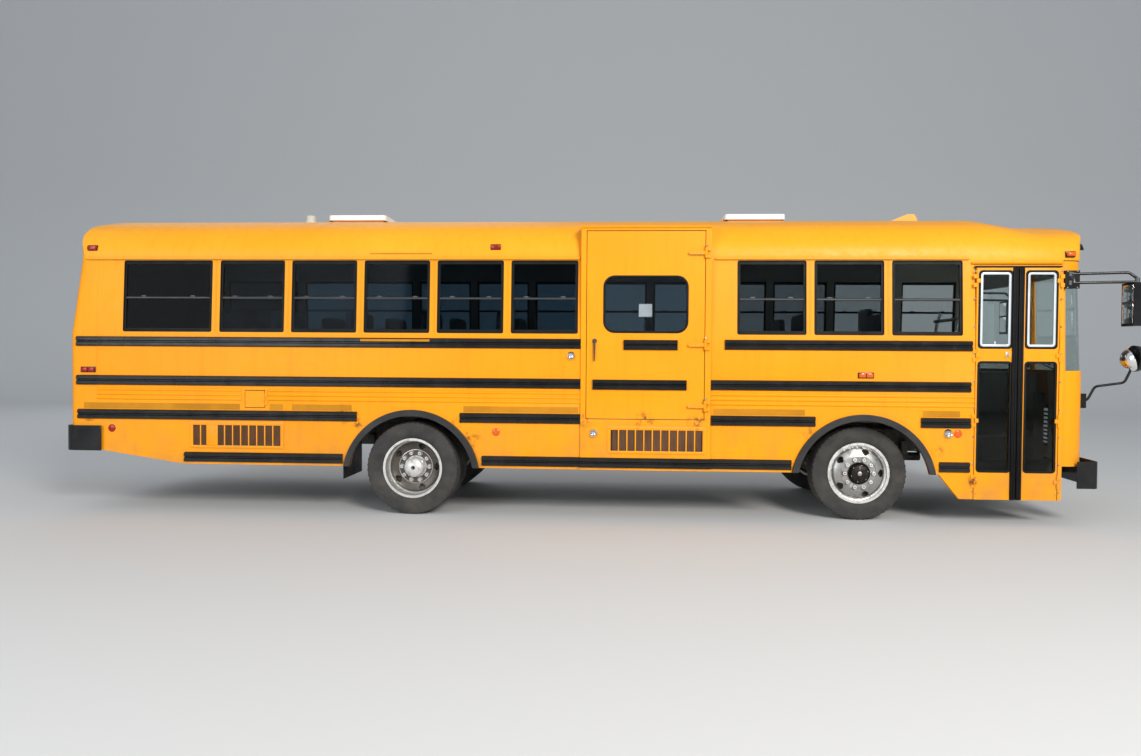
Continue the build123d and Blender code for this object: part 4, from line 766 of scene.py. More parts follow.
def add_surround(bm, outline, place, width, proud, sink, finish=0):
    """A raised band inside an outline of (along, up) points, set on a face by a placing function."""
    flat = bmesh.new()
    middle = flat.faces.new([flat.verts.new((along, up, -sink)) for along, up in outline])
    middle.normal_update()
    bmesh.ops.inset_individual(flat, faces=[middle], thickness=width, use_even_offset=True)
    bmesh.ops.delete(flat, geom=[middle], context="FACES_ONLY")
    made = bmesh.ops.extrude_face_region(flat, geom=flat.faces[:])
    raised = [part for part in made["geom"] if isinstance(part, bmesh.types.BMVert)]
    bmesh.ops.translate(flat, vec=(0, 0, proud + sink), verts=raised)
    bmesh.ops.recalc_face_normals(flat, faces=flat.faces)
    rims = [edge for edge in flat.edges if all(vert.co.z > 0 for vert in edge.verts)
            and len(edge.link_faces) == 2 and edge.calc_face_angle(0) > 0.8]
    bmesh.ops.bevel(flat, geom=rims, offset=min(width * 0.3, proud * 0.7), segments=2, affect="EDGES", profile=0.5,
                    material=-1, clamp_overlap=True)
    set_finish(flat.faces, finish)
    for vert in flat.verts:
        vert.co = place(*vert.co)
    join_mesh(bm, flat, "surround")


def add_frame(bm, place, middle, size, radius, width, proud, sink, finish=0):
    """A raised band round an opening of a size and corner radius."""
    outline = rounded_outline(*middle, size[0] + 2 * width, size[1] + 2 * width, radius + width)
    add_surround(bm, outline, place, width, proud, sink, finish)


def add_rivet(bm, place, out, radius, finish=0):
    """A low domed head on a face, along its outward direction."""
    place, out = Vector(place), Vector(out)
    add_rod(bm, place - out * 0.001, place + out * radius * 0.5, radius, 8, radius * 0.5, finish)


def add_rivets(bm, side, stations, heights, radius, face=wall_y, proud=0.0):
    """Rivets at stations and heights on a side, on a face that a function gives."""
    for station in stations:
        for z in heights:
            add_rivet(bm, (at(station), face(side, z) + side * proud, z), (0, side, 0), radius)


def spread(first, last, pitch):
    """Even places from first to last at about a pitch."""
    count = max(1, round(abs(last - first) / pitch))
    return [first + (last - first) * k / count for k in range(count + 1)]


def add_bolt_ring(bm, centre, side, circle, count, radius, low, high, finish, segments=6, top=1.0, turn=0.0):
    """Nuts or studs on a circle about an axle line, from one distance out to another."""
    for k in range(count):
        angle = 2 * pi * k / count + turn
        x, z = centre[0] + circle * cos(angle), centre[2] + circle * sin(angle)
        add_rod(bm, (x, centre[1] + side * low, z), (x, centre[1] + side * high, z), radius, segments, radius * top,
                finish)


# Sections as (out, up) of gutters, drip caps and rub rails
GUTTER_SECTION = ((0, 0), (0.021, 0), (0.024, 0.004), (0.024, 0.024), (0.021, 0.024), (0.021, 0.006), (0.018, 0.003),
                  (0, 0.003))
DRIP_SECTION = ((-0.002, 0), (0.022, -0.004), (0.026, 0.004), (0.020, 0.010), (-0.002, 0.016))
LIFT_DRIP_SECTION = ((0, 0), (0.014, -0.004), (0.016, 0.004), (0.004, 0.012), (0, 0.016))
RAIL_SECTION = ((0, 0), (0.014, 0.002), (0.022, 0.006), (0.0275, 0.014), (0.0275, 0.036), (0.022, 0.043),
                (0.013, 0.047), (0.013, 0.053), (0.022, 0.057), (0.0275, 0.064), (0.0275, 0.086), (0.022, 0.094),
                (0.014, 0.098), (0, 0.1))

# Rows of rivets up both sides, but for those near the lift door, which the left side lacks.
# Columns are station, lowest, highest, pitch
RIVET_COLUMNS = (
    (-1.267, 1.39, 1.64, 0.05), (-1.227, 1.39, 1.64, 0.05), (-1.267, 0.62, 0.90, 0.05), (-1.227, 0.62, 0.90, 0.05),
    (0.197, 1.39, 1.64, 0.05), (0.256, 1.39, 1.64, 0.05), (3.864, 1.39, 1.64, 0.05), (3.923, 1.39, 1.64, 0.05),
    (3.864, 1.10, 1.11, 0.05), (3.105, 1.83, 2.50, 0.084), (3.162, 1.83, 2.50, 0.10), (5.352, 0.64, 2.49, 0.075),
    (5.405, 0.64, 2.49, 0.075), (-3.018, 1.83, 2.50, 0.06), (1.655, 0.64, 2.49, 0.05), (2.965, 1.83, 2.50, 0.05),
    (2.965, 0.64, 1.25, 0.06),
)
# First and last stations near the lift door, and rows of rivets up its frame
LIFT_AREA = (1.0, 3.2)
LIFT_COLUMNS = ((1.690, 0.52, 2.82, 0.047), (1.712, 0.54, 2.80, 0.047), (2.893, 0.52, 2.82, 0.040),
                (2.918, 0.54, 2.80, 0.040))
# Heights of the rivet rows along the belt, the eaves and the skirt grilles
BELT_ROW_Z = 1.787
EAVE_ROW_Z = 2.60
GRILLE_ROWS = (0.652, 0.902)
# Middles of the posts between windows, on both sides and on the left side alone
POST_STATIONS = (-1.992, -1.2505, -0.513, 0.223, 0.952, 3.8825, 4.6195)
LEFT_POST_STATIONS = (1.68, 2.42, 3.15)
# Reflective tape above the third rail
TAPE_LOW, TAPE_HIGH = 1.028, 1.088
TAPE_LENGTHS = ((-3.359, -1.739), (-1.431, -1.298), (-1.206, -0.60), (0.52, 1.655), (2.963, 3.842), (4.95, 5.30))
ROOF_SEAMS = (-2.3, -0.85, 0.95, 4.009, 5.271)
SEAM_WIDTH = 0.028


class BUS_OT_seams(Operator):
    """Set the rivets, panel seams and reflective tape on the body"""

    bl_idname = "bus.seams"
    bl_label = "Rivets, seams and tape"

    def execute(self, context):
        trim = context.scene.bus_trim
        radius = trim.rivet_radius
        bm = bmesh.new()
        for side in (-1, 1):
            for station, low, high, pitch in RIVET_COLUMNS:
                if side < 0 or not LIFT_AREA[0] < station < LIFT_AREA[1]:
                    add_rivets(bm, side, [station], spread(low, high, pitch), radius * 0.8)
            posts = POST_STATIONS + (LEFT_POST_STATIONS if side > 0 else ())
            add_rivets(bm, side, [post + shift for post in posts for shift in (-0.026, 0.026)],
                       spread(1.84, 2.49, 0.105), radius * 0.6)
            belt = spread(-3.0, 1.64 if side < 0 else 6.1, trim.rivet_pitch * 2)
            add_rivets(bm, side, belt, [BELT_ROW_Z], radius * 0.6)
            eave = [station for station in spread(-3.2, 5.3, 0.37) if side > 0 or not 1.6 < station < 3.0]
            add_rivets(bm, side, eave, [EAVE_ROW_Z], radius * 0.8, roof_y)
        add_rivets(bm, -1, spread(-2.25, -1.29, 0.12), GRILLE_ROWS, radius * 0.7, wall_y, 0.006)
        for station, low, high, pitch in LIFT_COLUMNS:
            add_rivets(bm, -1, [station], spread(low, high, pitch), radius * 0.7, lift_y)
        add_rivets(bm, -1, spread(1.75, 2.86, 0.026), [0.928], radius * 0.6, lift_y)
        add_rivets(bm, -1, spread(1.96, 2.88, 0.115), GRILLE_ROWS, radius * 0.7, lift_y, 0.006)
        make_piece("rivets", bm, ["side"], "body", 60)

        seams = bmesh.new()
        for station in ROOF_SEAMS:
            add_roof_seam(seams, station)
        make_piece("roof_seams", seams, ["roof"], "body", 50)

        tape = bmesh.new()
        for first, last in TAPE_LENGTHS:
            for side in (-1, 1):
                add_block(tape, (at(first), side * (BODY_HALF + 0.0009), TAPE_LOW),
                          (at(last), side * (BODY_HALF - 0.0005), TAPE_HIGH))
        add_block(tape, (at(-0.507), -BODY_HALF - 0.0272, 1.721), (at(0.185), -BODY_HALF - 0.0255, 1.743))
        add_block(tape, (at(-0.43), -ROOF_HALF - 0.0010, 2.586), (at(0.19), -ROOF_HALF + 0.004, 2.600))
        make_piece("reflective_tape", tape, ["tape"], "body", 30)
        return {"FINISHED"}


def roof_line(station, lift):
    """Points across the roof's section from one eave to the other, raised by a lift."""
    points = []
    lean = asin(EAVE_Y / (CROWN_RADIUS - EAVE_RADIUS))
    eave, crown = EAVE_RADIUS + lift, CROWN_RADIUS + lift
    for k in range(7):
        angle = (pi / 2) * (1 - k / 6) + lean * (k / 6)
        points.append((EAVE_Y + eave * sin(angle), EAVE_CENTRE_Z + eave * cos(angle)))
    for k in range(1, 6):
        angle = lean * (1 - k / 5)
        points.append((crown * sin(angle), CROWN_CENTRE_Z + crown * cos(angle)))
    whole = points + [(-y, z) for y, z in reversed(points[:-1])]
    return [(at(station), y, z) for y, z in whole]


def add_roof_seam(bm, station):
    """A lap seam over the roof: a thin band, a little raised."""
    add_prism(bm, roof_line(station, -0.0005) + roof_line(station, 0.0016)[::-1], (SEAM_WIDTH, 0, 0))


# Rails on the lift door. Columns are first station, last station, bottom
LIFT_RAILS = ((2.093, 2.613, 1.650), (1.794, 2.703, 1.262))
# First and last stations of the lift frame's sill rail and drip cap
LIFT_SPAN = (1.668, 2.942)
# Bottoms of the two rails that run on to the rear edge, and the stations of those ends
RAIL_END_BOTTOMS = (1.657, 1.266)
RAIL_END_SPAN = (-3.425, -3.222)
# Gutters at the eaves. Columns are side, first station, last station
GUTTERS = ((-1, -3.34, 1.66), (-1, 2.975, 5.37), (1, -3.34, 5.37))
# Mud flaps: inner and outer edges, bottom, top, and bottom of the plate that holds them
FLAP_SIDES = (0.545, 1.155)
FLAP_LOW, FLAP_TOP, FLAP_PLATE = 0.34, 0.84, 0.80


class BUS_OT_rails(Operator):
    """Fit the lift door's rails, the rails' rear ends, gutters, mud flaps and a rounded rear bumper"""

    bl_idname = "bus.rails"
    bl_label = "Rails, gutters and rear bumper"

    def execute(self, context):
        door = bmesh.new()
        for first, last, bottom in LIFT_RAILS:
            add_strip(door, RAIL_SECTION, first, last, LIFT_FACE - 0.0004, bottom)
        make_piece("lift_door_rails", door, ["black"], "lift_door", 30)
        sill = bmesh.new()
        add_strip(sill, RAIL_SECTION, *LIFT_SPAN, LIFT_FACE, 0.500)
        make_piece("lift_sill_rail", sill, ["black"], "body", 30)

        ends = bmesh.new()
        for side in (-1, 1):
            for bottom in RAIL_END_BOTTOMS:
                add_strip(ends, RAIL_SECTION, *RAIL_END_SPAN, side * BODY_HALF, bottom, side)
        make_piece("rail_ends", ends, ["black"], "body", 30)

        gutters = bmesh.new()
        for side, first, last in GUTTERS:
            add_strip(gutters, GUTTER_SECTION, first, last, side * ROOF_HALF, EAVE_Z + 0.002, side)
        add_strip(gutters, DRIP_SECTION, 5.395, 6.24, wall_y(-1, 2.500), 2.496)
        make_piece("gutters", gutters, ["side"], "body", 30)

        flaps = bmesh.new()
        for side in (-1, 1):
            low_y, high_y = sorted(side * y for y in FLAP_SIDES)
            add_block(flaps, (at(-0.708), low_y, FLAP_LOW), (at(-0.700), high_y, FLAP_TOP), 0.003)
            add_block(flaps, (at(-0.716), low_y, FLAP_PLATE), (at(-0.708), high_y, FLAP_TOP), 0.002, finish=1)
            for y in spread(low_y + 0.04, high_y - 0.04, 0.13):
                add_rivet(flaps, (at(-0.716), y, 0.82), (-1, 0, 0), 0.010, 1)
            add_block(flaps, (at(-0.700), side * 0.43, FLAP_PLATE), (at(-0.672), side * FLAP_SIDES[1], FLAP_TOP), 0.003,
                      finish=1)
        make_piece("mud_flaps", flaps, ["rubber", "chassis"], "body", 40)

        low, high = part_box("bumper_rear")
        bumper = bmesh.new()
        outline = bumper_plan(low.x + 0.022, high.x, high.y, 0.10)
        inner = bumper_plan(REAR_X - 0.002, high.x, high.y - 0.012, 0.075)
        points = [(x, y, low.z) for x, y in outline + inner[::-1]]
        add_prism(bumper, points, (0, 0, high.z - low.z))
        piece = make_piece("bumper_rear_dressed", bumper, ["black"], "body", 40)
        round_edges(piece, 0.006, 50, False)
        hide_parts("bumper_rear")
        return {"FINISHED"}


def bumper_plan(back_x, front_x, half, corner):
    """The rear bumper's plan from one side's end round the back to the other's, as (x, y)."""
    side = []
    for k in range(9):
        angle = radians(90 * k / 8)
        side.append((back_x + corner - corner * sin(angle), half - corner + corner * cos(angle)))
    half_plan = [(front_x, half)] + side
    return half_plan + [(x, -y) for x, y in reversed(half_plan)]


LAMP_FINISHES = ["red_lens", "amber_lens", "chrome", "black", "clear_lens"]
RED, AMBER, CHROME, BLACK, CLEAR = range(5)
# Twin side markers. Columns are station, height, lens, half length
SIDE_MARKERS = ((-3.310, 1.420, RED, 0.078), (4.412, 1.421, AMBER, 0.076))
# Round reflectors. Columns are station, height, lens
REFLECTORS = ((-3.067, 0.829, RED), (0.845, 0.835, AMBER), (5.283, 0.87, AMBER))
# Clearance lamps. Columns are station, height
CLEARANCE_LAMPS = ((-3.290, 2.652), (0.826, 2.658))
CLEARANCE_HALF = 0.050
# Chromed domes on the right side. Columns are station, height, how far their panel stands proud
DOMES = ((1.58, 1.589, 0.0), (1.805, 0.837, LIFT_PROUD), (5.19, 0.869, 0.0))
# Warning lamps at the front and rear. Columns are distance out, lens, X at the front
WARNING_LAMPS = ((0.64, AMBER, 4.779), (0.86, RED, 4.762))
WARNING_REAR_X = -5.180
WARNING_RADIUS = 0.094
# Tail lamps. Columns are distance out, radius, lens
TAIL_LAMPS = ((0.88, 0.09, RED), (0.65, 0.06, AMBER))
# Head lamps: distances out and turned profiles
HEAD_LAMP_PLACES = (0.56, 0.76)
HEAD_LENS = ((0.0, 0.012), (0.04, 0.0105), (0.068, 0.004), (0.072, 0.0))
HEAD_REFLECTOR = ((0.0, -0.052), (0.030, -0.046), (0.060, -0.022), (0.073, -0.001))
HEAD_RING = ((0.071, 0.0), (0.074, 0.006), (0.081, 0.006), (0.0848, 0.0), (0.0848, -0.036), (0.071, -0.030))


class BUS_OT_lamps(Operator):
    """Model the marker, warning, turn, tail and head lamps"""

    bl_idname = "bus.lamps"
    bl_label = "Lamps"

    def execute(self, context):
        bm = bmesh.new()
        for side in (-1, 1):
            y = side * BODY_HALF
            for station, z, lens, half in SIDE_MARKERS:
                add_block(bm, (at(station - half), y, z - 0.028), (at(station + half), y + side * 0.008, z + 0.028),
                          0.003, finish=BLACK)
                for shift in (-0.5, 0.5):
                    middle = station + shift * half * 0.92
                    add_block(bm, (at(middle - half * 0.42), y, z - 0.021),
                              (at(middle + half * 0.42), y + side * 0.024, z + 0.021), 0.007, finish=lens)
            for station, z, lens in REFLECTORS:
                add_turned(bm, ((0.0, 0.0085), (0.028, 0.0085), (0.034, 0.006), (0.037, 0.004), (0.039, 0.0)),
                           (at(station), y, z), (0, side, 0), 28, lens)
            for station, z in CLEARANCE_LAMPS:
                inner = roof_y(side, z) - side * 0.02
                add_block(bm, (at(station - CLEARANCE_HALF), inner, z - 0.030),
                          (at(station + CLEARANCE_HALF), inner + side * 0.030, z + 0.028), 0.004, finish=BLACK)
                add_block(bm, (at(station - CLEARANCE_HALF * 0.9), inner, z - 0.022),
                          (at(station + CLEARANCE_HALF * 0.9), inner + side * 0.054, z + 0.022), 0.010, 3, RED)
            for y, lens, front_x in WARNING_LAMPS:
                for face_x, along, z in ((front_x, 1, 2.63), (WARNING_REAR_X, -1, 2.65)):
                    place, out = (face_x, side * y, z), (along, 0, 0)
                    add_turned(bm, ((0.0, 0.013), (0.05, 0.0115), (0.074, 0.006), (0.080, 0.001)), place, out, 40, lens)
                    add_turned(bm, ((0.0795, -0.002), (0.0805, 0.006), (0.090, 0.006), (0.0925, -0.002),
                                    (WARNING_RADIUS, -0.050)), place, out, 40, BLACK)
                    add_hood(bm, place, along, WARNING_RADIUS, 0.040, BLACK)
            for y, radius, lens in TAIL_LAMPS:
                place, out = (REAR_X, side * y, 1.0), (-1, 0, 0)
                add_turned(bm, ((0.0, 0.026), (radius * 0.6, 0.024), (radius * 0.86, 0.016), (radius * 0.88, 0.008)),
                           place, out, 40, lens)
                add_turned(bm, ((radius * 0.86, 0.006), (radius * 0.90, 0.014), (radius * 0.98, 0.012), (radius, 0.0)),
                           place, out, 40, CHROME)
        for station, z, proud in DOMES:
            place, out = (at(station), -BODY_HALF - proud, z), (0, -1, 0)
            add_turned(bm, ((0.0, 0.012), (0.022, 0.012), (0.026, 0.026), (0.031, 0.029), (0.040, 0.020),
                            (0.046, 0.006), (0.047, 0.0)), place, out, 32, CHROME)
            add_turned(bm, ((0.0, 0.032), (0.010, 0.030), (0.019, 0.024), (0.022, 0.016)), place, out, 24, CLEAR)
        add_block(bm, (at(6.262), -1.190, 2.553), (at(6.352), -1.165, 2.612), 0.004, finish=BLACK)
        add_block(bm, (at(6.268), -1.222, 2.562), (at(6.346), -1.180, 2.604), 0.014, 3, AMBER)
        piece = make_piece("lamp_set", bm, LAMP_FINISHES, "body", 40)
        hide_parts("lamps")

        heads = bmesh.new()
        for side in (-1, 1):
            for y in HEAD_LAMP_PLACES:
                place = (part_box("head_lamps")[1].x - 0.012, side * y, 0.9)
                for profile, finish in ((HEAD_LENS, 0), (HEAD_REFLECTOR, 1), (HEAD_RING, 1)):
                    add_turned(heads, profile, place, (1, 0, 0), 44, finish)
        piece = make_piece("head_lamp_set", heads, ["clear_lens", "chrome"], "body", 40)
        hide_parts("head_lamps")
        return {"FINISHED"}


def add_hood(bm, place, along, radius, depth, finish):
    """A black half-round visor over a lamp."""
    angles = [radians(12 + 156 * k / 12) for k in range(13)]
    inner = [(radius * cos(angle), radius * sin(angle)) for angle in angles]
    outer = [(y * 1.03, z * 1.03) for y, z in reversed(inner)]
    points = [(place[0] - along * 0.012, place[1] + y, place[2] + z) for y, z in inner + outer]
    add_prism(bm, points, (along * (depth + 0.012), 0, 0), finish)


# Heights of the hinge straps on the lift door, and stations of a strap's round end, edge and bolts
STRAP_HEIGHTS = (1.112, 1.704, 2.592)
STRAP_END, STRAP_EDGE = 2.730, 2.846
STRAP_BOLTS = (2.745, 2.785, 2.825)
HANDLE_STATION = 1.8095
# Skirt grilles: stations and face of each, then the bottom and top of both
GRILLES = ((-2.225, -1.318, -BODY_HALF), (1.968, 2.868, LIFT_FACE))
GRILLE_LOW, GRILLE_HIGH = 0.640, 0.912


class BUS_OT_lift(Operator):
    """Fit the lift door's gasket, handle, straps, drip cap, sticker and grille frames"""

    bl_idname = "bus.lift"
    bl_label = "Lift door trim"

    def execute(self, context):
        bm = bmesh.new()
        low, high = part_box("lift_door_glass")
        middle = ((low.x + high.x) / 2, (low.z + high.z) / 2)
        size = (high.x - low.x - 0.016, high.z - low.z - 0.016)
        add_frame(bm, side_place(-1, LIFT_FACE), middle, size, 0.088, 0.022, 0.009, 0.012)
        make_piece("lift_glass_gasket", bm, ["gasket"], "lift_door", 40)

        metal = bmesh.new()
        x = at(HANDLE_STATION)
        add_turned(metal, ((0.0, 0.016), (0.014, 0.016), (0.021, 0.012), (0.023, 0.0)), (x, LIFT_FACE, 1.737),
                   (0, -1, 0), 24, 0)
        add_rod(metal, (x, LIFT_FACE - 0.022, 1.740), (x, LIFT_FACE - 0.030, 1.540), 0.011, 12, 0.006, 0)
        add_rod(metal, (x, LIFT_FACE - 0.004, 1.737), (x, LIFT_FACE - 0.026, 1.737), 0.010, 12, 0.010, 0)
        make_piece("lift_handle", metal, ["iron"], "lift_door", 40)

        straps = bmesh.new()
        for z in STRAP_HEIGHTS:
            outline = [(at(STRAP_END) + 0.017 * cos(radians(a)), z + 0.017 * sin(radians(a)))
                       for a in range(90, 271, 15)]
            outline += [(at(STRAP_EDGE), z - 0.018), (at(STRAP_EDGE), z + 0.018)]
            add_prism(straps, [(px, LIFT_FACE - 0.0005, pz) for px, pz in outline], (0, -0.030, 0), 0)
            for station in STRAP_BOLTS:
                add_rivet(straps, (at(station), LIFT_FACE - 0.0305, z), (0, -1, 0), 0.007, 1)
            pin = Vector((at(2.880), LIFT_FACE - 0.024, z + 0.060))
            add_rod(straps, pin, pin + Vector((0, 0, 0.015)), 0.012, 12, 0.008, 1)
        make_piece("lift_straps", straps, ["side", "steel"], "lift_door", 40)

        sticker = bmesh.new()
        add_block(sticker, (at(2.238), LIFT_FACE + 0.0110, 1.973), (at(2.365), LIFT_FACE + 0.0119, 2.098))
        make_piece("blank_sticker", sticker, ["sign_white"], "lift_door", 30)

        drip = bmesh.new()
        add_strip(drip, LIFT_DRIP_SECTION, *LIFT_SPAN, LIFT_FACE, 2.838)
        add_block(drip, (at(1.727), LIFT_FACE - 0.0012, 2.8035), (at(2.878), LIFT_FACE + 0.01, 2.8065), finish=1)
        make_piece("lift_drip_cap", drip, ["side", "gasket"], "body", 30)

        grille = bmesh.new()
        for first, last, face in GRILLES:
            middle = (at((first + last) / 2), (GRILLE_LOW + GRILLE_HIGH) / 2 - 0.004)
            add_frame(grille, side_place(-1, face - 0.006), middle, (last - first + 0.004, 0.206), 0.004, 0.026,
                      0.0035, 0.004)
            for x in spread(first, last, 0.08)[1:-1]:
                add_block(grille, (at(x) - 0.006, face - 0.0085, GRILLE_LOW + 0.026),
                          (at(x) + 0.006, face - 0.004, GRILLE_HIGH - 0.038), 0.001)
            add_block(grille, (at(first + 0.02), face + 0.010, GRILLE_LOW + 0.022),
                      (at(last - 0.02), face + 0.016, GRILLE_HIGH - 0.034), finish=1)
            for x in spread(first + 0.004, last - 0.004, 0.0125):
                add_block(grille, (at(x) - 0.0012, face - 0.001, GRILLE_LOW + 0.028),
                          (at(x) + 0.0012, face + 0.022, GRILLE_HIGH - 0.040), finish=1)
        add_block(grille, (at(-2.082), -BODY_HALF - 0.0095, 0.664), (at(-1.965), -BODY_HALF - 0.004, 0.876), 0.001,
                  finish=0)
        make_piece("condenser_grilles", grille, ["side", "fins"], "body", 30)
        return {"FINISHED"}


# The entrance's leaves. Columns are name, outer edge, meeting edge, way to the middle
LEAVES = (("rear", 5.438, 5.8165, 1), ("front", 6.205, 5.8265, -1))
# Panes of a leaf. Columns are bottom, top, whether an aluminium frame goes round
LEAF_PANES = ((0.523, 1.548, False), (1.703, 2.411, True))


class BUS_OT_entrance(Operator):
    """Fit the entrance leaves' seals, window frames, gaskets and bolts"""

    bl_idname = "bus.entrance"
    bl_label = "Entrance trim"

    def execute(self, context):
        face = -DOOR_FACE
        for leaf, outer, meeting, inward in LEAVES:
            low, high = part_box(f"entrance_glass_{leaf}")
            bm = bmesh.new()
            first, last = sorted((at(meeting - inward * 0.046), at(meeting)))
            add_block(bm, (first - 0.002, face - 0.0175, 0.246), (last + 0.0015, face + 0.0365, 2.4525), 0.006)
            for bulge in (0.3, 0.7):
                x = first + (last - first) * bulge
                add_rod(bm, (x, face - 0.016, 0.25), (x, face - 0.016, 2.45), 0.008, 12)
            width = high.x - low.x
            middle_x = (low.x + high.x) / 2
            for z_low, z_high, framed in LEAF_PANES:
                middle = (middle_x, (z_low + z_high) / 2)
                height = z_high - z_low
                place = side_place(-1, face)
                add_frame(bm, place, middle, (width - 0.006, height - 0.006), 0.014, 0.022, 0.004, 0.012)
                if framed:
                    add_frame(bm, place, middle, (width - 0.046, height - 0.046), 0.012, 0.022, 0.003, 0.010, 1)
                    if leaf == "rear":
                        add_block(bm, (middle_x - 0.006, face + 0.003, z_low + 0.02),
                                  (middle_x + 0.006, face + 0.010, z_low + 0.05), 0.001, finish=1)
            for z in spread(0.30, 2.40, 0.30):
                add_rivet(bm, (at(outer + inward * 0.016), face, z), (0, -1, 0), 0.007, 2)
            if leaf == "rear":
                add_block(bm, (at(5.700), face - 0.004, 1.590), (at(5.790), face - 0.0005, 1.665), 0.002, finish=3)
                add_rod(bm, (at(5.745), face - 0.012, 1.628), (at(5.745), face - 0.003, 1.628), 0.012, 16, None, 2)
                add_block(bm, (at(5.712), face - 0.0065, 1.602), (at(5.732), face - 0.003, 1.652), 0.002, finish=2)
            make_piece(f"entrance_trim_{leaf}", bm, ["gasket", "aluminium", "steel", "side"], f"entrance_{leaf}",
                       35)
        posts = bmesh.new()
        for station in (5.4245, 6.2180):
            for z in spread(0.32, 2.42, 0.262):
                add_rivet(posts, (at(station), -BODY_HALF, z), (0, -1, 0), 0.010, 0)
        add_block(posts, (at(5.420), -BODY_HALF - 0.003, 2.458), (at(6.222), -BODY_HALF + 0.036, 2.470), 0.002,
                  finish=1)
        make_piece("entrance_posts", posts, ["steel", "gasket"], "body", 40)
        return {"FINISHED"}


# Rear edges of the sash windows, on both sides and on the left side alone
WINDOW_WIDTH = 0.65
WINDOW_STARTS = (4.66, 3.926, 3.192, 0.99, 0.256, -0.478, -1.212, -1.946)
LEFT_STARTS = (5.47, 2.458, 1.724)
REARMOST_WINDOW = (-2.945, -2.038)


def window_spans(side):
    """First and last stations of the sash windows on a side."""
    spans = [(start, start + WINDOW_WIDTH) for start in WINDOW_STARTS + (LEFT_STARTS if side > 0 else ())]
    return spans + [REARMOST_WINDOW]


# Places of a sash's two latches, as shares of its width
LATCHES = (0.22, 0.78)
# Bottom and top of the battens on the posts
BATTEN_LOW, BATTEN_HIGH = 1.800, 2.525


class BUS_OT_windows(Operator):
    """Fit rubber surrounds, sash bars, latches and post battens to the side windows"""

    bl_idname = "bus.windows"
    bl_label = "Side windows"

    def execute(self, context):
        bm = bmesh.new()
        for side in (-1, 1):
            for first, last in window_spans(side):
                middle = (at((first + last) / 2), (SILL_Z + HEAD_Z) / 2)
                size = (last - first - 0.006, HEAD_Z - SILL_Z - 0.006)
                add_frame(bm, side_place(side), middle, size, 0.012, 0.008, 0.0035, 0.010)
                face = wall_y(side, MID_BAR_Z) - side * 0.0065
                add_block(bm, (at(first + 0.020), face, MID_BAR_Z - 0.006),
                          (at(last - 0.020), face + side * 0.0025, MID_BAR_Z + 0.006), 0.001, 1, 1)
                for share in LATCHES:
                    x = at(first + share * (last - first))
                    add_block(bm, (x - 0.022, face, MID_BAR_Z + 0.008),
                              (x + 0.022, face - side * 0.010, MID_BAR_Z + 0.022), 0.003, 2, 2)
            for station in POST_STATIONS:
                for shift in (-0.0065, 0.0045):
                    x = at(station + shift)
                    foot, head = wall_y(side, BATTEN_LOW) - side * 0.002, wall_y(side, BATTEN_HIGH) - side * 0.002
                    add_prism(bm, [(x, foot, BATTEN_LOW), (x, head, BATTEN_HIGH), (x, head + side * 0.005, BATTEN_HIGH),
                                   (x, foot + side * 0.005, BATTEN_LOW)], (0.002, 0, 0), 3)
        make_piece("window_trim", bm, ["gasket", "bar", "plastic", "side"], "body", 35)
        return {"FINISHED"}


# A wheel's oval hand holes: circle they lie on, half length, half width
HAND_HOLE = (0.217, 0.038, 0.024)
HOLES = 5
NUTS = 10
NUT_CIRCLE = 0.140
# Washer, nut and stud. Columns are radius, span out of the nut face, finish, segments, share of the radius at the top
NUT_PARTS = ((0.0250, 0, 0.004, 1, 20, 1.0), (0.0205, 0, 0.034, 0, 6, 0.90), (0.0085, 0.02, 0.043, 1, 8, 1.0))
STEM_CIRCLE = 0.225
# Columns are axle, X, then distances out of the tyre's middle: nut face, drum face, span of the hand-hole cut
AXLES = (("front", FRONT_AXLE_X, 0.108, 0.022, (0.030, 0.125)), ("rear", REAR_AXLE_X, -0.046, -0.084, (-0.080, 0.030)))


def cut_hand_holes(wheel, centre, side, depth):
    """Opens the wheel's round holes to ovals that lie along its dish."""
    bm = bmesh.new()
    circle, half_long, half_wide = HAND_HOLE
    for k in range(HOLES):
        turn = Matrix.Rotation(-radians(360 / HOLES * k), 4, "Y")
        points = []
        for step in range(20):
            angle = 2 * pi * step / 20
            spot = turn @ Vector((circle + half_wide * cos(angle), 0, half_long * sin(angle)))
            points.append((centre[0] + spot.x, centre[1] + side * depth[0], centre[2] + spot.z))
        add_prism(bm, points, (0, side * (depth[1] - depth[0]), 0))
    bmesh.ops.recalc_face_normals(bm, faces=bm.faces)
    cutter = new_object("hand_hole_cutter", to_mesh(bm, "hand_hole_cutter"))
    cut = wheel.modifiers.new("hand_holes", "BOOLEAN")
    cut.operation, cut.solver, cut.object = "DIFFERENCE", "EXACT", cutter
    closed, tool = wheel.data, cutter.data
    opened = bpy.data.meshes.new_from_object(wheel.evaluated_get(bpy.context.evaluated_depsgraph_get()))
    wheel.modifiers.clear()
    wheel.data = opened
    bpy.data.objects.remove(cutter)
    for mesh in (closed, tool):
        bpy.data.meshes.remove(mesh)


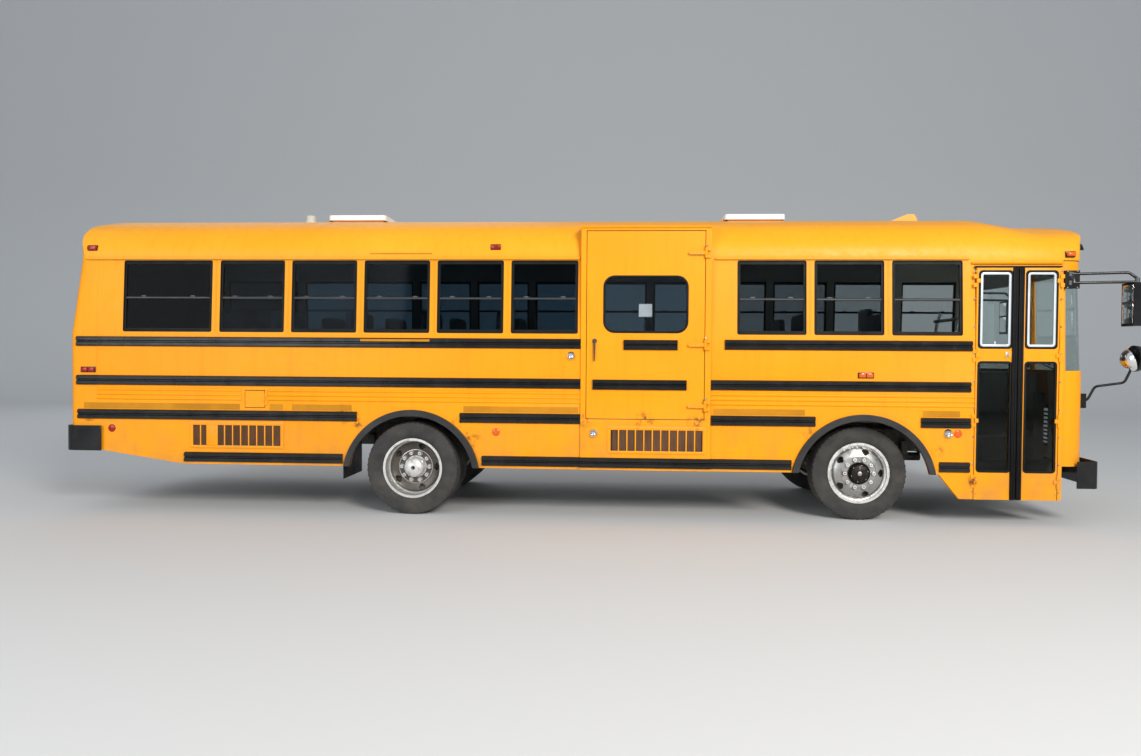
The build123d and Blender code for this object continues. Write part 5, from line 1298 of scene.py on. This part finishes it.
class BUS_OT_wheels(Operator):
    """Open the hand holes and fit wheel nuts, hub details, brake drums and valve stems"""

    bl_idname = "bus.wheels"
    bl_label = "Wheel nuts and hubs"

    def execute(self, context):
        for side, side_name in ((-1, "right"), (1, "left")):
            for axle, x, face, drum, depth in AXLES:
                low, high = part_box(f"tyre_{axle}_{side_name}")
                outer = (low.y if side < 0 else high.y) - side * TYRE_WIDTH / 2
                centre, out = (x, outer, WHEEL_Z), (0, side, 0)
                bm = bmesh.new()
                for radius, first, last, finish, segments, top in NUT_PARTS:
                    add_bolt_ring(bm, centre, side, NUT_CIRCLE, NUTS, radius, face + first, face + last, finish,
                                  segments, top)
                place = (x, outer + side * face, WHEEL_Z)
                add_turned(bm, ((0.172, 0.0), (0.172, 0.005), (0.168, 0.006), (0.166, 0.0)), place, out, 64, 2)
                if axle == "front":
                    add_turned(bm, ((0.1015, 0.002), (0.104, 0.010), (0.112, 0.010), (0.114, 0.0)), place, out, 48, 2)
                    add_bolt_ring(bm, centre, side, 0.078, 6, 0.0075, 0.135, 0.150, 0, 6, 0.9, 0.3)
                    add_turned(bm, ((0.0, 0.0535), (0.012, 0.0530), (0.022, 0.0500), (0.024, 0.040)), place, out, 24, 1)
                else:
                    add_bolt_ring(bm, centre, side, 0.088, 8, 0.0085, 0.046, 0.062, 0, 6, 0.9, 0.2)
                angle = radians(38)
                stem = Vector((x + STEM_CIRCLE * cos(angle), outer + side * (face - 0.01),
                               WHEEL_Z + STEM_CIRCLE * sin(angle)))
                add_rod(bm, stem, stem + Vector((0.02 * cos(angle), side * 0.045, 0.02 * sin(angle))), 0.005, 10,
                        0.004, 1)
                add_turned(bm, ((0.152, drum), (0.246, drum), (0.250, drum - 0.004), (0.250, drum - 0.05),
                                (0.152, drum - 0.05), (0.152, drum)), centre, out, 48, 3)
                cut_hand_holes(bpy.data.objects[f"wheel_{axle}_{side_name}_dressed"], centre, side, depth)
                make_piece(f"wheel_nuts_{axle}_{side_name}", bm, ["chrome", "steel", "front_rim", "chassis"],
                           frame["nodes"][f"wheel_{axle}_{side_name}"]["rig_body"], 35)
        return {"FINISHED"}


# Station of the mirrors' glass face, and bottoms and tops of each mirror's two glasses
MIRROR_STATION = 6.760
MIRROR_GLASSES = ((1.925, 2.105), (2.125, 2.280))
# Collars on the arms. Columns are station, distance out, height, half length
ARM_COLLARS = ((6.845, 1.3185, 2.325, 0.026), (6.300, 1.197, 2.395, 0.020), (6.300, 1.197, 2.312, 0.020))


class BUS_OT_mirrors(Operator):
    """Fit mirror glasses, joint collars and bolts to the mirror arms"""

    bl_idname = "bus.mirrors"
    bl_label = "Mirrors"

    def execute(self, context):
        bm = bmesh.new()
        for side in (-1, 1):
            x = at(MIRROR_STATION)
            for low_z, high_z in MIRROR_GLASSES:
                add_block(bm, (x - 0.0025, side * 1.240, low_z), (x + 0.004, side * 1.410, high_z), 0.002)
            add_block(bm, (x - 0.004, side * 1.232, 2.109), (x + 0.004, side * 1.418, 2.121), 0.001, finish=1)
            for station, y, z, half in ARM_COLLARS:
                centre = Vector((at(station), side * y, z))
                add_rod(bm, centre - Vector((0, 0, half)), centre + Vector((0, 0, half)), 0.019, 16, None, 1)
            for shift in (-0.045, 0.045):
                for z in (2.420, 2.268):
                    add_rivet(bm, (at(6.319 + shift), side * 1.210, z), (0, side, 0), 0.008, 2)
            centre = Vector((at(6.935), side * 1.140, 1.600))
            add_turned(bm, ((0.0, 0.127), (0.045, 0.118), (0.082, 0.096), (0.108, 0.062), (0.116, 0.040)), centre,
                       (-0.94, side * -0.1, -0.34), 40, 0)
        make_piece("mirror_faces", bm, ["mirror", "plastic", "steel"], "body", 40)
        return {"FINISHED"}


def add_cushion(bm, low, high, crown):
    """A stuffed block whose faces crown and whose sides pull in between the corners."""
    low, high = Vector(low), Vector(high)
    middle, half = (low + high) / 2, (high - low) / 2
    pad = bmesh.new()
    bmesh.ops.create_cube(pad, size=2)
    bmesh.ops.subdivide_edges(pad, edges=pad.edges[:], cuts=5, use_grid_fill=True)
    for vert in pad.verts:
        reach = vert.co.copy()
        place = Vector([reach[k] * (half[k] - crown - 0.004) for k in range(3)])
        for k in range(3):
            if abs(reach[k]) > 0.99:
                across = [1 - reach[j] ** 2 for j in range(3) if j != k]
                place[k] += crown * across[0] * across[1] * (1 if reach[k] > 0 else -1)
        vert.co = middle + place
    join_mesh(bm, pad, "cushion")


BENCH_PITCH = 0.76
BENCH_ROWS = 11
BENCH_SIDES = (0.297, 1.153)
DRIVER_SIDES = (0.562, 1.038)
# A seat's cushion and back. Columns are first and last station, bottom and top above the floor, crown of its faces
BENCH_PADS = ((0.0, 0.398, 0.335, 0.458, 0.012), (-0.089, -0.001, 0.40, 1.008, 0.010))
DRIVER_PADS = ((5.002, 5.428, 0.34, 0.498, 0.016), (4.901, 4.998, 0.44, 1.148, 0.014))
WHEEL_RADIUS = 0.205
WHEEL_TILT = radians(54)


def add_seat(bm, station, sides, pads):
    """A seat's cushion and back between two sides, from the station of its front edge."""
    low_y, high_y = sorted(sides)
    for first, last, bottom, top, crown in pads:
        add_cushion(bm, (at(station + first), low_y, FLOOR_Z + bottom), (at(station + last), high_y, FLOOR_Z + top),
                    crown)


def bench_stations(side):
    """Front edges of the benches on a side."""
    rows = [-2.9 + BENCH_PITCH * row for row in range(BENCH_ROWS)]
    if side > 0:
        return [row for row in rows if row < 4.3]
    return [row for row in rows if not 1.4 < row < 3.15]


class BUS_OT_cabin(Operator):
    """Upholster the benches and the driver's seat and fit the steering wheel and grab rails"""

    bl_idname = "bus.cabin"
    bl_label = "Cabin"

    def execute(self, context):
        pads, frames = bmesh.new(), bmesh.new()
        for side in (-1, 1):
            for station in bench_stations(side):
                add_seat(pads, station, [side * y for y in BENCH_SIDES], BENCH_PADS)
                for y in (side * 0.35, side * 1.10):
                    for shift in (0.04, 0.34):
                        x = at(station + shift)
                        add_rod(frames, (x, y, FLOOR_Z), (x, y, FLOOR_Z + 0.336), 0.014, 10)
                    add_rod(frames, (at(station + 0.02), y, FLOOR_Z + 0.32),
                            (at(station + 0.37), y, FLOOR_Z + 0.32), 0.013, 10)
        add_seat(pads, 0, DRIVER_SIDES, DRIVER_PADS)
        add_turned(frames, ((0.0, 0.0), (0.16, 0.0), (0.15, 0.03), (0.09, 0.06), (0.07, 0.10), (0.07, 0.338),
                            (0.0, 0.338)), (at(5.215), 0.80, FLOOR_Z), (0, 0, 1), 32, 0)
        seats = make_piece("bench_covers", pads, ["seat"], "body", 60)
        smooth = seats.modifiers.new("smooth", "SUBSURF")
        smooth.levels = smooth.render_levels = 1
        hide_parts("seats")
        make_piece("bench_frames", frames, ["black"], "body", 40)

        bm = bmesh.new()
        axis = Vector((-cos(WHEEL_TILT), 0, sin(WHEEL_TILT)))
        hub = Vector((at(5.80), 0.80, FLOOR_Z + 0.589))
        ring = [(WHEEL_RADIUS + 0.013 * cos(radians(a)), 0.013 * sin(radians(a))) for a in range(0, 361, 45)]
        add_turned(bm, ring, hub, axis, 48, 0)
        add_turned(bm, ((0.0, 0.018), (0.035, 0.012), (0.045, -0.004), (0.03, -0.02), (0.0, -0.025)), hub, axis, 32, 0)
        for turn in (90, 210, 330):
            out = turn_to(axis) @ Vector((cos(radians(turn)), sin(radians(turn)), 0))
            add_rod(bm, hub + out * 0.03 - axis * 0.006, hub + out * WHEEL_RADIUS, 0.011, 10, 0.008, 0)
        add_rod(bm, hub - axis * 0.01, hub - axis * 0.30, 0.024, 20, 0.030, 0)
        make_piece("steering_wheel", bm, ["plastic"], "body", 40)
        rails = bmesh.new()
        for y in (-0.50, -1.08):
            add_tube(rails, [(at(5.30), y, FLOOR_Z), (at(5.30), y, FLOOR_Z + 0.6), (at(5.32), y, FLOOR_Z + 0.98),
                             (at(5.36), y - 0.02, FLOOR_Z + 1.02)], 0.016, 12)
        add_rod(rails, (at(5.30), -0.50, FLOOR_Z + 0.94), (at(5.30), -1.08, FLOOR_Z + 0.94), 0.016, 16)
        add_block(rails, (at(5.294), -1.07, FLOOR_Z + 0.10), (at(5.306), -0.51, FLOOR_Z + 0.70), 0.003, finish=1)
        make_piece("grab_rails", rails, ["steel", "plastic"], "body", 40)
        return {"FINISHED"}


# Rear windows' middles across and up and their size, then the rear door's panes as middle up and height
REAR_WINDOWS = (-0.745, 0.745)
REAR_WINDOW_Z, REAR_WINDOW_SIZE = 2.095, (0.62, 0.52)
DOOR_PANES = ((1.425, 0.42), (2.105, 0.54))
DOOR_PANE_WIDTH = 0.51
# Middle of the stop arm's octagon as (station, height), and the reach of its corners
STOP_ARM_PLACE = (4.95, 1.5)
STOP_ARM_REACH = 0.238


class BUS_OT_ends(Operator):
    """Fit rear rubbers, panes and handle, the stop arm's border, the radiator and the wipers"""

    bl_idname = "bus.ends"
    bl_label = "Front, rear and left trim"

    def execute(self, context):
        bm = bmesh.new()
        for y in REAR_WINDOWS:
            add_frame(bm, rear_place(0.0), (y, REAR_WINDOW_Z), REAR_WINDOW_SIZE, 0.05, 0.020, 0.007, 0.012)
        make_piece("rear_window_rubbers", bm, ["gasket"], "body", 40)
        bm = bmesh.new()
        for middle, height in DOOR_PANES:
            add_frame(bm, rear_place(0.010), (0.0, middle), (DOOR_PANE_WIDTH, height), 0.04, 0.020, 0.007, 0.014)
            pane = rounded_outline(0.0, middle, DOOR_PANE_WIDTH + 0.01, height + 0.01, 0.03, 3)
            add_prism(bm, [rear_place(-0.004)(y, z, 0) for y, z in pane], (0.006, 0, 0), 2)
        x = REAR_X - 0.010
        add_block(bm, (x - 0.010, 0.245, 1.685), (x + 0.004, 0.315, 1.775), 0.004, finish=1)
        add_rod(bm, (x - 0.008, 0.280, 1.745), (x - 0.030, 0.280, 1.745), 0.012, 16, None, 1)
        add_rod(bm, (x - 0.026, 0.290, 1.747), (x - 0.026, 0.140, 1.735), 0.009, 12, 0.007, 1)
        make_piece("rear_door_trim", bm, ["gasket", "steel", "dark_glass"], "rear_door", 40)

        border = bmesh.new()
        face_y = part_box("stop_arm")[1].y
        x, z = at(STOP_ARM_PLACE[0]), STOP_ARM_PLACE[1]
        corners = [radians(22.5 + 45 * k) for k in range(8)]
        outline = [(x + STOP_ARM_REACH * cos(a), z + STOP_ARM_REACH * sin(a)) for a in corners]
        add_surround(border, outline, side_place(1, face_y), 0.012, 0.0010, 0.0005)
        for lamp_z in (z - 0.165, z + 0.165):
            add_turned(border, ((0.0, 0.016), (0.026, 0.014), (0.038, 0.006), (0.042, 0.0)), (x, face_y, lamp_z),
                       (0, 1, 0), 32, 1)
        make_piece("stop_arm_border", border, ["sign_white", "red_lens"], "stop_arm", 30)

        radiator = bmesh.new()
        add_block(radiator, (at(6.335), -0.446, 0.575), (at(6.440), 0.446, 1.240), 0.006)
        for z in spread(0.62, 1.19, 0.019):
            add_block(radiator, (at(6.438), -0.42, z - 0.001), (at(6.446), 0.42, z + 0.001), finish=1)
        make_piece("radiator_core", radiator, ["chassis", "fins"], "body", 40)

        wipers = bmesh.new()
        for side in (-1, 1):
            pivot = Vector((at(6.515), side * 0.62, 1.452))
            tip = Vector((at(6.505), side * 0.16, 1.56))
            add_rod(wipers, pivot - Vector((0.03, 0, 0)), pivot + Vector((0.014, 0, 0)), 0.016, 16, 0.012, 0)
            add_rod(wipers, pivot, tip, 0.008, 10, 0.005, 0)
            add_rod(wipers, tip + Vector((0, side * 0.26, -0.030)), tip - Vector((0, side * 0.10, -0.055)), 0.006, 8,
                    0.006, 1)
        make_piece("wipers", wipers, ["black", "gasket"], "body", 40)
        return {"FINISHED"}


# Places of a hatch cover's ribs along it, and the strobe's base
HATCH_RIBS = (-0.18, -0.06, 0.06, 0.18)
STROBE_STATION, STROBE_Z = -1.455, 3.088


class BUS_OT_roof(Operator):
    """Fit the hatch covers' ribs and the strobe's lens"""

    bl_idname = "bus.roof"
    bl_label = "Roof fittings"

    def execute(self, context):
        for body in ("hatch_rear", "hatch_front"):
            low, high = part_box(body)
            bm = bmesh.new()
            middle_x = (high.x + low.x) / 2 + 0.01
            for shift in HATCH_RIBS:
                x = middle_x + shift
                add_block(bm, (x - 0.012, -0.24, high.z - 0.004), (x + 0.012, 0.24, high.z + 0.004), 0.004)
            make_piece(f"{body}_ribs", bm, ["white"], frame["nodes"][body]["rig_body"], 40)
        strobe = bmesh.new()
        add_turned(strobe, ((0.0, 0.072), (0.030, 0.068), (0.046, 0.050), (0.052, 0.0)),
                   (at(STROBE_STATION), 0, STROBE_Z), (0, 0, 1), 40)
        make_piece("strobe_lens", strobe, ["clear_lens"], "body", 40)
        return {"FINISHED"}


# Area lights. Columns are name, place, size, power, colour
LIGHTS = (
    ("key", (7.0, -15.0, 8.5), 5.0, 2500.0, (1.0, 0.97, 0.92)),
    ("fill", (-9.0, -14.0, 5.0), 8.0, 800.0, (0.92, 0.96, 1.0)),
    ("rear_fill", (-8.0, 15.0, 12.0), 14.0, 380.0, (0.95, 0.97, 1.0)),
)
LIGHTS_AIM = Vector((0.3, 0, 1.4))
SKY_COLOUR = (0.80, 0.87, 0.96, 1)
SKY_STRENGTH = 0.62
# The floor's reach from the bus, and the place, top and bend of the wall behind it
FLOOR_REACH = 160.0
WALL_Y, WALL_TOP, WALL_BEND = 26.0, 90.0, 9.0


class BUS_OT_stage(Operator):
    """Set the floor, the lights and the camera"""

    bl_idname = "bus.stage"
    bl_label = "Stage"

    def execute(self, context):
        scene = context.scene
        stage = scene.bus_stage
        floor = bmesh.new()
        verts = [floor.verts.new((-FLOOR_REACH, y, z)) for y, z in stage_outline()]
        edges = [floor.edges.new(pair) for pair in zip(verts, verts[1:])]
        made = bmesh.ops.extrude_edge_only(floor, edges=edges)["geom"]
        bmesh.ops.translate(floor, vec=(2 * FLOOR_REACH, 0, 0),
                            verts=[part for part in made if isinstance(part, bmesh.types.BMVert)])
        mesh = to_mesh(floor, "studio_floor")
        mesh.shade_smooth()
        backdrop = new_object("studio_floor", mesh)
        cover = Finish("studio_floor", Base_Color=(0.62, 0.62, 0.61), Roughness=0.8)
        cover.bump(cover.noise(30.0, 3, 0.5), 0.05, 0.002)
        mesh.materials.append(cover.material)

        for name, place, size, power, colour in LIGHTS:
            light = bpy.data.lights.new(name, "AREA")
            light.size, light.energy, light.color = size, power, colour
            turn = (LIGHTS_AIM - Vector(place)).to_track_quat("-Z", "Y").to_matrix().to_4x4()
            new_object(name, light).matrix_world = Matrix.Translation(place) @ turn
        world = bpy.data.worlds.new("studio")
        world.use_nodes = True
        world.node_tree.nodes["Background"].inputs[0].default_value = SKY_COLOUR
        world.node_tree.nodes["Background"].inputs[1].default_value = SKY_STRENGTH
        scene.world = world
        scene.view_settings.view_transform = "Standard"

        yaw, pitch, roll = stage.camera_turn
        ahead = Vector((sin(yaw) * cos(pitch), cos(yaw) * cos(pitch), sin(pitch)))
        right = Vector((cos(yaw), -sin(yaw), 0))
        up = right.cross(ahead)
        leant_right = cos(roll) * right + sin(roll) * up
        leant_up = cos(roll) * up - sin(roll) * right
        camera = bpy.data.cameras.new("camera")
        camera.lens = stage.lens
        camera.sensor_width = 36
        camera.sensor_fit = "HORIZONTAL"
        camera.clip_end = 300
        holder = new_object("camera", camera)
        turn = Matrix((leant_right, leant_up, -ahead)).transposed().to_4x4()
        holder.matrix_world = Matrix.Translation(stage.camera_place) @ turn
        scene.camera = holder
        return {"FINISHED"}


def stage_outline():
    """Outline of the floor and the wall behind it, joined by a wide bend, as (y, z)."""
    outline = [(-FLOOR_REACH, 0.0), (0.0, 0.0)]
    for turned in range(0, 91, 6):
        angle = radians(turned)
        outline.append((WALL_Y - WALL_BEND + WALL_BEND * sin(angle), WALL_BEND - WALL_BEND * cos(angle)))
    return outline + [(WALL_Y, WALL_TOP)]


class BUS_PT_dressing(Panel):
    """Operators of the bus's dressing"""

    bl_label = "School bus"
    bl_idname = "BUS_PT_dressing"
    bl_space_type = "VIEW_3D"
    bl_region_type = "UI"
    bl_category = "Bus"

    def draw(self, context):
        for step in STEPS:
            self.layout.operator(step)


STEPS = ("bus.stage", "bus.panels", "bus.tyres", "bus.wheels", "bus.seams", "bus.rails", "bus.lamps", "bus.lift",
         "bus.entrance", "bus.windows", "bus.mirrors", "bus.cabin", "bus.ends", "bus.roof")
CLASSES = (BusPaint, BusTyre, BusTrim, BusStage, BUS_OT_stage, BUS_OT_panels, BUS_OT_tyres, BUS_OT_wheels,
           BUS_OT_seams, BUS_OT_rails, BUS_OT_lamps, BUS_OT_lift, BUS_OT_entrance, BUS_OT_windows, BUS_OT_mirrors,
           BUS_OT_cabin, BUS_OT_ends, BUS_OT_roof, BUS_PT_dressing)
GROUPS = (("bus_paint", BusPaint), ("bus_tyre", BusTyre), ("bus_trim", BusTrim), ("bus_stage", BusStage))


def register():
    """Registers the operators, the panel and the groups of settings."""
    for cls in CLASSES:
        bpy.utils.register_class(cls)
    for name, group in GROUPS:
        setattr(bpy.types.Scene, name, PointerProperty(type=group))


def unregister():
    """Removes what register adds."""
    for name, group in GROUPS:
        delattr(bpy.types.Scene, name)
    for cls in reversed(CLASSES):
        bpy.utils.unregister_class(cls)


def main():
    """Dresses the frame, one operator after another."""
    register()
    for step in STEPS:
        group, name = step.split(".")
        getattr(getattr(bpy.ops, group), name)()


if __name__ == "__main__":
    main()
